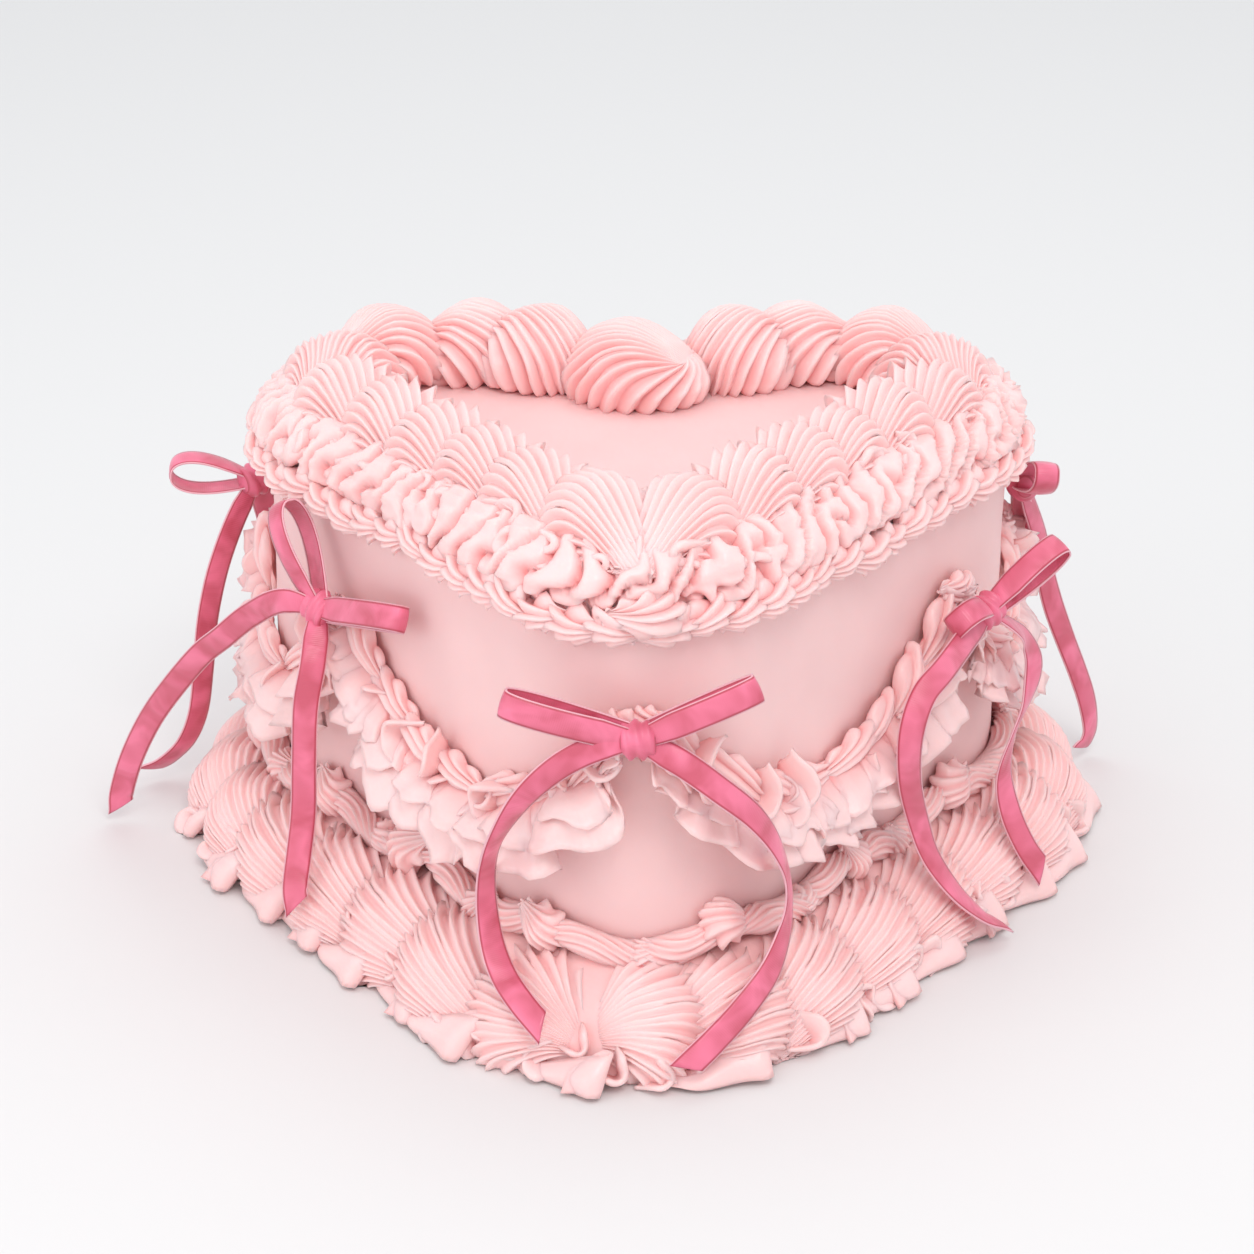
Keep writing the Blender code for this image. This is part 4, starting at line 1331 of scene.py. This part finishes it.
@dataclass
class BaseRope(Border):
    """The ridged rope of icing that dips round the side just above the base border."""

    low: float = 0.0210
    rise: float = 0.0045
    height: float = 0.0068
    depth: float = 0.0070
    scallops: int = 13
    ridges: int = 11
    twist: float = 1.5
    stations: int = 900
    per_ridge: int = 4
    kinds: int = 3
    rosette: FanShell = field(
        default_factory=lambda: FanShell(
            length=0.0155, width=0.0118, height=0.0072, flutes=13, comb_depth=0.0016, hood_depth=0.0014,
            tooth=0.0014, tail=0.35, egg=0.45, swirl=0.5, columns=5, rows=12, unevenness=0.4,
        )
    )

    def build(self, icing: Material) -> None:
        """Sweep a ridged section along the dips and show it."""
        heart = self.heart
        around = self.ridges * self.per_ridge
        share = np.arange(self.stations) / self.stations
        arcs = share * 2 * heart.half_turn - heart.half_turn
        bump = np.abs(np.cos(math.pi * self.scallops * share)) ** 2
        middle = self.low + self.height / 2 + self.rise * bump
        pinch = 1 - 0.28 * np.exp(-((bump - 1) ** 2) / 0.02)
        loose = Wander(51, 6, 40)
        size = (0.5 * (self.height + 0.002) * pinch * (1 + 0.12 * loose.at(share)))[:, None]
        angle = TAU * np.arange(around) / around
        blade = np.abs(2 * ((np.arange(around) / self.per_ridge) % 1.0) - 1) ** 1.4
        spin = angle[None, :] + (self.twist * np.sin(TAU * self.scallops * share))[:, None]
        radius = size * (0.72 + 0.28 * blade[None, :])
        offset = 0.42 * self.depth + radius * np.cos(spin) * 0.90
        height = middle[:, None] + radius * np.sin(spin) * 0.95
        points = heart.place(arcs[:, None], offset, height)
        # Painted shade down in the rope's grooves.
        form = swept_ring(points, (1 - blade)[None, :] * 0.65)
        finished("piped_base_rope", form.mesh("piped_base_rope"), icing, ["base_rope"])
        rng = np.random.default_rng(52)
        stops = []
        for joint in range(2 * self.scallops):
            part = (joint / 2 + rng.uniform(-0.12, 0.12)) / self.scallops
            arc = part * 2 * heart.half_turn - heart.half_turn
            peak = joint % 2 == 0
            rise = self.rise * (1.0 if peak else 0.1) + rng.uniform(-0.001, 0.001)
            place = heart.place(arc, 0.0018, self.low + self.height / 2 + rise)
            out = heart.outward(arc)
            along = np.cross(UP, out) * rng.choice((-1, 1))
            lean = along * rng.uniform(0.3, 1.0) + UP * rng.uniform(-0.9, 0.2)
            size = rng.uniform(0.9, 1.15) * (1.0 if peak else 0.75)
            stops.append(Stop(place, lean, out + UP * 0.5, size, int(rng.integers(2 * self.kinds))))
        forms = self.rosette.pairs(self.kinds, 54)
        sizes = {"Seed": 11, "Size_Spread": 0.06, "Turn_Spread": 0.15, "Wobble": 0.0010}
        self.show("piped_base_rosettes", forms, stops, icing, [], **sizes)


@dataclass
class Swags(Border):
    """The swags on the side: each a rope of small shells with two layers of thin petals hanging under it."""

    ends: tuple[float, ...] = (-0.300, -0.180, -0.106, 0.0, 0.117, 0.176, 0.300)
    names: tuple[str, ...] = (
        "swag_rear_left", "swag_left", "swag_front_left", "swag_front_right", "swag_right", "swag_rear_right",
    )
    top: float = 0.0845
    drop: float = 0.0265
    drop_per_length: float = 0.45
    hang: float = 2.2
    end_gap: float = 0.0050
    end_dabs: int = 5
    petal_depth: float = 0.0168
    petal_pitch: float = 0.0125
    shell_pitch: float = 0.0135
    curl_pitch: float = 0.0110
    shell_kinds: int = 5
    curl_kinds: int = 4
    layers: tuple[tuple[int, float, float], ...] = ((300, 1.0, 0.0), (350, 0.58, 0.0010))
    curl: PetalFold = PetalFold(
        length=0.018, height=0.0085, bends=(1.9,), flare=0.25, lean=0.30, thickness=0.0016
    )
    shape: FanShell = field(
        default_factory=lambda: FanShell(
            length=0.0280, width=0.0092, height=0.0058, flutes=8, comb_depth=0.0016, hood_depth=0.0014,
            tooth=0.0016, tail=0.35, egg=0.55, spread=0.6, rows=14, unevenness=0.5,
        )
    )

    def line(self, first: float, last: float, part: np.ndarray) -> tuple[np.ndarray, np.ndarray, np.ndarray]:
        """Give the arc, the height and the slope of one swag's hanging line at shares of its length."""
        drop = min(self.drop, self.drop_per_length * (last - first))
        hang = np.abs(2 * part - 1)
        height = self.top - drop * (1 - hang**self.hang)
        slope = drop * self.hang * hang ** (self.hang - 1) * 2 / (last - first) * np.sign(part - 0.5)
        return first + (last - first) * part, height, slope

    def petals(self, first: float, last: float, seed: int, reach: float, lift: float) -> Form:
        """Fold one layer of a swag's hanging petals out of a thin sheet.

        Args:
            first: Arc of one end.
            last: Arc of the other end.
            seed: Seed of the unevenness.
            reach: How far down the petals hang, as a share of their depth.
            lift: How far they stand out beyond the lowest layer.

        Returns:
            The closed sheet.
        """
        folds = max(round((last - first) / self.petal_pitch), 4)
        count = folds * 20 + 1
        share = np.linspace(0.0, 1.0, count)
        loose, deep, frill = Wander(seed, 1, 6), Wander(seed + 1, 2, 13), Wander(seed + 2, 8, 40)
        turn = share * folds * TAU + 1.6 * loose.at(share)
        arc, height, slope = self.line(first, last, share)
        v = np.linspace(0.0, 1.0, 11)[:, None]
        fade = np.clip(1.15 - np.abs(2 * share - 1) ** 5, 0.15, 1.0)
        depth = reach * self.petal_depth * (0.78 + 0.20 * deep.at(share) + 0.10 * np.sin(turn + 0.8)) * fade
        down = 0.002 + depth * v
        fan = slope * 0.42 * down
        double = 0.0056 * np.sin(turn) * (0.15 + 0.85 * v) * fade
        along = arc + fan + double
        bulge = np.sin(v * math.pi * 0.62)
        flare = 0.0040 * v * np.cos(turn) * fade + 0.0018 * v**3 * frill.at(share)
        flare = flare + 0.0018 * smoothstep(0.8, 1.0, v)
        flare = flare + 0.0017 * v * np.sin(3.3 * turn + 3.0 * loose.at(share) + 1.5 * v)
        offset = 0.0024 + lift * v + 0.0058 * bulge + reach * flare
        tilt = height - down + 0.0012 * v * frill.at(share + 0.3)
        points = self.heart.place(along, offset, tilt)
        thick = 0.0012 * (1.4 - 0.90 * v)
        # Painted shade, darker at the top of the petals under the rope and in the receding troughs of their
        # folds.
        groove_shade = np.clip(0.75 - 1.2 * v, 0, 1) + 0.55 * (0.5 - 0.5 * np.cos(turn)) ** 2 * (1 - 0.6 * v)
        return thick_sheet(points, thick, groove_shade).turned_out()

    def stops(self, number: int, first: float, last: float) -> list[Stop]:
        """Place one swag's shells, the dabs at its first end and its curls.

        Args:
            number: Number of the swag, which sets the draw.
            first: Arc of one end.
            last: Arc of the other end.

        Returns:
            The places.
        """
        heart, shells = self.heart, 2 * self.shell_kinds
        rng = np.random.default_rng(200 + number)
        spots = max(round((last - first) / self.shell_pitch), 4)
        stops = []
        for i in range(spots):
            part = (i + 0.5) / spots
            arc, height, slope = self.line(first, last, np.array(part))
            place = heart.place(arc, 0.0008, height)
            ahead = heart.place(arc + 0.001, 0.0008, height + slope * 0.001) - place
            lean = unit(ahead) * (1 if part > 0.5 else -1) + UP * rng.uniform(-0.1, 0.35)
            grow = (rng.uniform(0.85, 1.15), rng.uniform(0.8, 1.05), rng.uniform(0.8, 1.1))
            stops.append(Stop(place, lean, heart.outward(arc), grow, int(rng.integers(shells))))
        for _ in range(self.end_dabs):
            arc = first - self.end_gap + rng.uniform(-0.0045, 0.0045)
            out = heart.outward(arc)
            place = heart.place(arc, 0.0012, self.top + rng.uniform(-0.0050, 0.0045))
            lean = np.cross(UP, out) * rng.choice((-1, 1)) + UP * rng.uniform(-0.9, 0.9)
            stops.append(Stop(place, lean, out, (0.42, 0.70, 0.70), int(rng.integers(shells))))
        for _ in range(round((last - first) / self.curl_pitch)):
            arc, height, slope = self.line(first, last, np.array(rng.uniform(0.02, 0.98)))
            out = heart.outward(arc)
            place = heart.place(arc, 0.0030, height - rng.uniform(-0.001, 0.006))
            stands = unit(out + UP * rng.uniform(-0.7, 0.7))
            lean = np.cross(UP, out) * rng.choice((-1, 1)) + UP * rng.uniform(-0.8, 0.8)
            size = rng.uniform(0.7, 1.15)
            stops.append(Stop(place, lean, stands, size, shells + int(rng.integers(self.curl_kinds))))
        return stops

    def build(self, icing: Material) -> None:
        """Pipe each swag's rope, hang its petals, join the two and show them."""
        half = self.heart.half_turn
        forms = self.shape.pairs(self.shell_kinds, 120)
        forms += [self.curl.form(130 + i) for i in range(self.curl_kinds)]
        sizes = {"Size_Spread": 0.06, "Turn_Spread": 0.14, "Wobble": 0.0012}
        for number, name in enumerate(self.names):
            first = max(self.ends[number], -half) + self.end_gap
            last = min(self.ends[number + 1], half) - self.end_gap
            stops = self.stops(number, first, last)
            mesh = self.piping.piece(name + "_rope", forms, stops, icing, Seed=30 + number, **sizes)
            layers = [
                self.petals(first, last, seed + 7 * number, reach, lift) for seed, reach, lift in self.layers
            ]
            both = bmesh.new()
            both.from_mesh(mesh)
            both.from_mesh(Form.joined(layers).mesh(name + "_petals"))
            both.to_mesh(mesh)
            both.free()
            mesh.materials.clear()
            mesh.materials.append(icing)
            mesh.polygons.foreach_set("material_index", [0] * len(mesh.polygons))
            mesh.polygons.foreach_set("use_smooth", [True] * len(mesh.polygons))
            finished("piped_" + name, mesh, icing, [name])


@dataclass(frozen=True)
class Loop:
    """One loop of a bow: its far end in millimetres, the way that it opens, and how far it opens there."""

    end: Vec3
    opens: Vec3
    opening: float = 7.0


@dataclass(frozen=True)
class Tail:
    """One tail: the line that it follows, in millimetres, and its turns in degrees, evenly along it."""

    line: tuple[Vec3, ...]
    turns: tuple[float, ...] = (0.0, 0.0)


@dataclass(frozen=True)
class BowPath:
    """One bow in millimetres: its knot, the way that its tails face, and its loops and tails."""

    node: str
    knot: Vec3
    face: Vec3
    loops: tuple[Loop, ...]
    tails: tuple[Tail, ...]


BOWS = (
    BowPath(
        "bow_front",
        (-0.6, -97.0, 87.5),
        (0.0, -0.90, 0.40),
        (Loop((-32.2, -98.0, 97.8), (0.0, -0.95, 0.10), 6.5),
         Loop((27.4, -97.0, 101.0), (0.0, -0.95, 0.22), 4.5)),
        (
            Tail(
                ((-4.3, -98.3, 88.6), (-9.4, -99.6, 87.0), (-18.8, -99.6, 82.0), (-27.2, -98.0, 73.2),
                 (-33.5, -94.4, 61.7), (-36.7, -90.6, 51.4), (-37.6, -87.6, 39.7), (-36.4, -89.6, 28.9),
                 (-33.5, -95.5, 22.8), (-28.9, -102.6, 19.1), (-23.5, -108.6, 15.5)),
                (0.0, 10.0, 30.0, 66.0, 50.0, 30.0, 10.0, 0.0),
            ),
            Tail(
                ((2.3, -98.4, 87.6), (9.3, -99.7, 83.0), (18.7, -100.3, 75.9), (27.3, -97.7, 67.0),
                 (33.1, -94.1, 56.4), (36.0, -90.7, 44.9), (35.5, -90.6, 33.1), (31.8, -97.4, 25.1),
                 (25.1, -105.6, 19.3), (17.7, -112.2, 14.0), (11.0, -116.4, 9.0)),
                (0.0, 10.0, 20.0, 55.0, 84.0, 55.0, 20.0, 10.0, 0.0),
            ),
        ),
    ),
    BowPath(
        "bow_left",
        (-82.3, -22.3, 87.5),
        (-0.25, -0.90, 0.30),
        (Loop((-58.9, -48.0, 96.0), (-0.30, -0.80, 0.50), 7.0),
         Loop((-91.5, -12.0, 112.6), (-0.68, -0.72, 0.0), 9.5)),
        (
            Tail(
                ((-84.0, -23.5, 88.8), (-92.0, -20.8, 89.0), (-101.6, -12.7, 81.2), (-110.3, -5.5, 71.5),
                 (-117.4, 0.4, 63.5), (-126.9, 8.3, 49.8), (-134.7, 14.8, 36.9), (-141.5, 20.4, 22.5),
                 (-145.7, 23.9, 10.2), (-146.6, 24.6, 4.6)),
                (20.0, 10.0, 25.0, 20.0, 10.0, 20.0, 35.0),
            ),
            Tail(
                ((-81.2, -25.0, 86.0), (-83.4, -32.6, 77.0), (-85.6, -34.4, 65.4), (-86.6, -35.6, 49.8),
                 (-87.4, -36.0, 35.5), (-88.6, -40.0, 25.5), (-89.5, -44.5, 18.0), (-89.0, -47.0, 13.5)),
                (10.0, 35.0, 0.0, 10.0, 20.0, 10.0, 0.0),
            ),
        ),
    ),
    BowPath(
        "bow_right",
        (90.6, -14.6, 83.5),
        (0.25, -0.90, 0.30),
        (Loop((110.3, -6.0, 98.3), (0.10, -0.45, 0.90), 7.5),
         Loop((81.5, -29.0, 86.4), (0.25, -0.60, 0.75), 9.0)),
        (
            Tail(
                ((86.6, -18.4, 82.0), (77.8, -39.6, 79.2), (71.4, -47.6, 74.8), (68.3, -51.5, 65.4),
                 (68.8, -49.2, 51.5), (71.8, -46.0, 38.0), (75.4, -46.8, 28.0), (82.0, -47.6, 18.4),
                 (89.6, -45.2, 10.0), (95.0, -41.6, 5.4)),
                (0.0, -10.0, -20.0, 0.0, 10.0, 25.0, 40.0, 62.0, 80.0),
            ),
            Tail(
                ((91.4, -15.6, 81.6), (98.0, -11.4, 77.6), (102.4, -6.2, 71.0), (105.2, -4.4, 63.0),
                 (103.6, -7.0, 54.0), (99.6, -11.8, 45.0), (97.6, -14.4, 35.0), (99.4, -17.4, 25.6),
                 (103.4, -21.0, 17.2), (108.4, -21.4, 9.7)),
                (60.0, 66.0, 30.0, 20.0, 72.0, 45.0, 10.0, 15.0, 10.0),
            ),
        ),
    ),
    BowPath(
        "bow_rear_left",
        (-107.1, 53.1, 93.0),
        (-0.55, -0.80, 0.20),
        (Loop((-129.9, 50.0, 97.0), (0.0, -0.12, 1.0), 10.0),
         Loop((-99.0, 79.0, 98.0), (-1.0, 0.0, 0.2), 7.0)),
        (
            Tail(
                ((-108.0, 52.0, 91.0), (-112.6, 50.0, 82.6), (-116.9, 48.0, 72.1), (-120.0, 48.0, 62.0),
                 (-122.6, 48.0, 50.0), (-124.4, 48.0, 36.0), (-126.6, 48.0, 23.0), (-130.6, 48.0, 13.6),
                 (-136.6, 48.0, 7.4), (-141.6, 48.0, 4.8)),
                (74.0, 70.0, 68.0, 72.0, 74.0, 76.0, 70.0),
            ),
            Tail(
                ((-106.6, 56.0, 91.0), (-106.0, 66.0, 78.0), (-104.6, 74.0, 60.0), (-100.0, 78.0, 43.0),
                 (-102.0, 84.0, 27.0), (-107.0, 90.0, 12.0), (-110.4, 94.2, 4.6)),
                (80.0, 50.0, 60.0, 80.0, 70.0),
            ),
        ),
    ),
    BowPath(
        "bow_rear_right",
        (106.0, 44.2, 95.2),
        (0.35, -0.90, 0.25),
        (Loop((109.5, 21.0, 107.0), (0.10, 0.10, 1.0), 8.0), Loop((103.0, 71.0, 99.0), (1.0, 0.0, 0.2), 7.0)),
        (
            Tail(
                ((109.0, 45.0, 90.0), (112.0, 49.0, 79.0), (115.0, 52.0, 66.0), (118.5, 55.0, 54.0),
                 (123.0, 58.0, 42.0), (127.8, 61.0, 30.0), (131.5, 63.0, 19.6), (133.3, 64.0, 10.7),
                 (132.5, 63.3, 6.4), (130.2, 61.6, 4.6)),
                (30.0, 20.0, 0.0, 10.0, 10.0, 30.0, 40.0),
            ),
            Tail(
                ((108.6, 48.0, 89.6), (108.6, 58.0, 76.0), (108.0, 67.0, 58.0), (104.0, 71.0, 41.0),
                 (106.6, 77.0, 26.0), (111.6, 83.0, 12.0), (114.8, 86.6, 4.6)),
                (-80.0, -50.0, -60.0, -80.0, -70.0),
            ),
        ),
    ),
    BowPath(
        "bow_cleft",
        (0.0, 77.6, 88.0),
        (0.0, 0.95, 0.30),
        (Loop((-25.0, 99.0, 100.0), (0.2, 0.80, -0.2)), Loop((25.0, 99.0, 99.0), (-0.2, 0.80, -0.2))),
        (
            Tail(
                ((-1.6, 80.0, 86.0), (-6.0, 86.0, 77.0), (-11.0, 91.5, 62.0), (-14.0, 94.5, 45.0),
                 (-14.6, 99.5, 30.0), (-13.6, 107.0, 19.6), (-12.0, 113.6, 11.0), (-10.8, 117.4, 6.0)),
                (0.0, 20.0, 50.0, 20.0, 0.0),
            ),
            Tail(
                ((1.6, 80.0, 86.0), (6.0, 86.0, 76.0), (12.0, 92.0, 60.0), (16.0, 96.0, 44.0),
                 (17.0, 101.0, 30.0), (18.0, 108.0, 19.6), (18.6, 114.6, 11.0), (18.9, 118.4, 6.0)),
                (0.0, -15.0, -40.0, -60.0, -20.0, 0.0),
            ),
        ),
    ),
)


@dataclass
class RibbonBow:
    """A bow of narrow satin ribbon: two loops, two tails and the band of its knot."""

    path: BowPath
    width: float = 0.0068
    thickness: float = 0.00045
    slant: float = 0.0026
    knot_radius: float = 0.0043
    knot_around: int = 28
    knot_rows: int = 21
    knot_crease: float = 0.11
    cup: float = 0.00035
    across: int = 7
    loop_points: int = 49
    loop_share: float = 0.93

    def smooth(self, knots: np.ndarray, per_span: int = 9) -> np.ndarray:
        """Draw a smooth line through points in millimetres, and give it in metres."""
        knots = np.asarray(knots, float) * MM
        padded = np.vstack((2 * knots[0] - knots[1], knots, 2 * knots[-1] - knots[-2]))
        t = np.linspace(0, 1, per_span, endpoint=False)[:, None]
        spans = []
        for a, b, c, d in zip(padded[:-3], padded[1:-2], padded[2:-1], padded[3:]):
            curve = 2 * b + (c - a) * t + (2 * a - 5 * b + 4 * c - d) * t**2 + (3 * b - a - 3 * c + d) * t**3
            spans.append(0.5 * curve)
        return np.vstack(spans + [knots[-1:]])

    def strap(self, line: np.ndarray, across: np.ndarray, slant: float = 0.0, pinch: float = 1.0) -> Form:
        """Build a flat strap.

        Args:
            line: The middle of the strap.
            across: Direction of its width at each point.
            slant: How far one edge of the far end runs past the other, over half the width.
            pinch: Share of the width that is left at the near end.

        Returns:
            The closed strap, with a UV map in metres along it and -1 to 1 across.
        """
        walked = distances(line)
        ahead = unit(np.gradient(line, axis=0))
        across = unit(across - ahead * np.sum(across * ahead, -1, keepdims=True))
        stands = np.cross(across, ahead)
        u = np.linspace(-1, 1, self.across)
        wide = self.width / 2 * (pinch + (1 - pinch) * np.minimum(walked / 0.008, 1.0))
        cup = self.cup * (1 - u**2)
        near_end = np.clip(1 - (walked[-1] - walked) / 0.006, 0, 1)
        points = line[:, None] + across[:, None] * (wide[:, None] * u)[..., None]
        points = points + stands[:, None] * cup[None, :, None]
        points = points + ahead[:, None] * (near_end[:, None] * u * slant)[..., None]
        form = thick_sheet(points, self.thickness, np.zeros((1, 1)))
        flat = np.stack(np.broadcast_arrays(u[None, :], walked[:, None]), -1).reshape(-1, 2)
        form.uv = np.concatenate((flat, flat))
        return form.turned_out()

    def loop(self, shape: Loop) -> Form:
        """Build one loop: out along the front, round the far end and back behind."""
        knot, end = np.array(self.path.knot) * MM, np.array(shape.end) * MM
        reach = end - knot
        face = np.array(shape.opens)
        face = unit(face - reach * face.dot(reach) / reach.dot(reach))
        turn = TAU * (np.linspace(0, 1, self.loop_points) * self.loop_share + (1 - self.loop_share) / 2)
        along = (1 - np.cos(turn)) / 2
        side = np.sin(turn) * (0.20 + 0.80 * along**0.8) * shape.opening * MM * 0.56
        side = side + np.copysign(0.0006, np.sin(turn))
        line = knot + reach * (0.04 + 0.96 * along)[:, None] + face * side[:, None]
        across = np.broadcast_to(unit(np.cross(reach, face)), line.shape)
        return self.strap(line, across, 0.0, 0.72)

    def tail(self, shape: Tail) -> Form:
        """Build one tail, turned as it goes."""
        line = self.smooth((self.path.knot,) + shape.line[1:])
        ahead = unit(np.gradient(line, axis=0))
        across = unit(np.cross(ahead, np.array(self.path.face)))
        toward = np.cross(across, ahead)
        share = np.linspace(0, 1, len(line))
        angle = np.radians(np.interp(share, np.linspace(0, 1, len(shape.turns)), shape.turns))
        angle = np.convolve(np.pad(angle, 6, mode="edge"), np.full(13, 1 / 13), mode="valid")[:, None]
        return self.strap(line, across * np.cos(angle) + toward * np.sin(angle), self.slant, 0.6)

    def band(self) -> Form:
        """Wrap the knot's band, with the creases of pulled ribbon."""
        knot = np.array(self.path.knot) * MM
        first, second = (np.array(loop.end) for loop in self.path.loops)
        axis = unit(second - first)
        face = np.array(self.path.face)
        face = unit(face - axis * face.dot(axis))
        up = np.cross(face, axis)
        angle = TAU * np.arange(self.knot_around) / self.knot_around
        rows = np.linspace(-1, 1, self.knot_rows)
        bulge = np.sqrt(np.clip(1 - (np.abs(rows) * 0.96) ** 2.6, 0, 1))
        crease = 1 + self.knot_crease * np.sin(rows[:, None] * 8.5 + 1.9 * np.sin(angle + 0.6) + 0.8)
        radius = self.knot_radius * (0.45 + 0.50 * bulge)[:, None] * crease
        ring = face * np.cos(angle)[:, None] * 0.95 + up * np.sin(angle)[:, None] * 1.12
        points = knot + axis * (rows * self.width * 0.62)[:, None, None] + ring[None] * radius[..., None]
        form = swept_bar(points, np.zeros((1, 1)))
        u = np.repeat(rows * 0.85, self.knot_around)
        v = np.tile(angle * self.knot_radius, len(rows))
        form.uv = np.concatenate((np.stack((u, v), -1), np.zeros((2, 2))))
        return form

    def build(self, satin: Material) -> None:
        """Tie the bow and show it."""
        forms = [self.band()]
        forms += [self.loop(shape) for shape in self.path.loops]
        forms += [self.tail(shape) for shape in self.path.tails]
        name = "satin_" + self.path.node
        finished(name, Form.joined(forms).mesh(name), satin, [self.path.node])


@dataclass(frozen=True)
class Lamp:
    """One soft square light: its place, its side in metres, its power in watts and its colour."""

    name: str
    place: Vec3
    size: float
    power: float
    colour: Vec3


@dataclass
class Studio:
    """Pale floor, soft lights and the camera at the photograph's angle."""

    lamps: tuple[Lamp, ...] = (
        Lamp("key_light", (0.22, -0.85, 1.22), 0.55, 5.7, (1.0, 0.98, 0.96)),
        Lamp("fill_light", (-0.95, -0.80, 0.50), 1.0, 2.9, (1.0, 0.99, 0.99)),
        Lamp("top_light", (0.10, 0.35, 1.20), 0.9, 1.9, (1.0, 1.0, 1.0)),
    )
    aim: Vec3 = (0.0, 0.0, 0.06)
    sky: Vec3 = (0.97, 0.98, 1.0)
    sky_strength: float = 0.95
    target: Vec3 = (-0.0031, 0.0300, 0.0581)
    distance: float = 0.8255
    pitch: float = 24.74
    lens: float = 85.4
    floor_size: float = 6.0
    floor_drop: float = 0.0002

    def light(self, lamp: Lamp) -> None:
        """Hang one light, aimed at the cake."""
        light = bpy.data.lights.new(lamp.name, "AREA")
        light.size, light.energy, light.color = lamp.size, lamp.power, lamp.colour
        holder = bpy.data.objects.new(lamp.name, light)
        holder.location = lamp.place
        holder.rotation_euler = (Vector(self.aim) - Vector(lamp.place)).to_track_quat("-Z", "Y").to_euler()
        bpy.context.scene.collection.objects.link(holder)

    def build(self) -> None:
        """Set up the floor, the lights, the sky and the camera."""
        scene = bpy.context.scene
        half = self.floor_size / 2
        mesh = bpy.data.meshes.new("pale_floor")
        corners = [(-half, -half), (half, -half), (half, half), (-half, half)]
        mesh.from_pydata([(x, y, -self.floor_drop) for x, y in corners], [], [(0, 1, 2, 3)])
        mesh.materials.append(FloorFinish().material())
        floor = bpy.data.objects.new("pale_floor", mesh)
        scene.collection.objects.link(floor)

        for lamp in self.lamps:
            self.light(lamp)
        world = bpy.data.worlds.new("pale_sky")
        world.use_nodes = True
        sky = world.node_tree.nodes["Background"]
        Wiring(world.node_tree).feed(sky, {"Color": (*self.sky, 1.0), "Strength": self.sky_strength})
        scene.world = world
        scene.view_settings.view_transform = "Standard"

        eye = bpy.data.cameras.new("camera")
        eye.lens = self.lens
        eye.sensor_width = 36.0
        eye.clip_start, eye.clip_end = 0.05, 20.0
        camera = bpy.data.objects.new("camera", eye)
        angle = math.radians(self.pitch)
        x, y, z = self.target
        camera.location = (x, y - self.distance * math.cos(angle), z + self.distance * math.sin(angle))
        camera.rotation_euler = (math.pi / 2 - angle, 0.0, 0.0)
        scene.collection.objects.link(camera)
        scene.camera = camera


def main() -> None:
    """Build and dress the cake, part by part."""
    logging.basicConfig(level=logging.INFO, format="%(name)s: %(message)s")
    heart = Heart()
    piping = PipingTree()
    # The second colour of each icing finish is its painted shade, for grooves and hollows.
    smooth = IcingFinish(
        "smooth_icing_finish", (0.88, 0.585, 0.580), (0.86, 0.49, 0.49), roughness=0.5, grain=0.10, swirl=0.05
    ).material()
    piped = IcingFinish("piped_icing_finish", (0.985, 0.655, 0.648), (0.98, 0.395, 0.39)).material()
    satin = SatinFinish().material()
    CakeBody(heart).build(smooth)
    TopShells(heart, piping).build(piped)
    TopRuffle(heart, piping).build(piped)
    RimBeads(heart, piping).build(piped)
    BaseShells(heart, piping).build(piped)
    BaseRope(heart, piping).build(piped)
    Swags(heart, piping).build(piped)
    for path in BOWS:
        RibbonBow(path).build(satin)
    Studio().build()


if __name__ == "__main__":
    main()
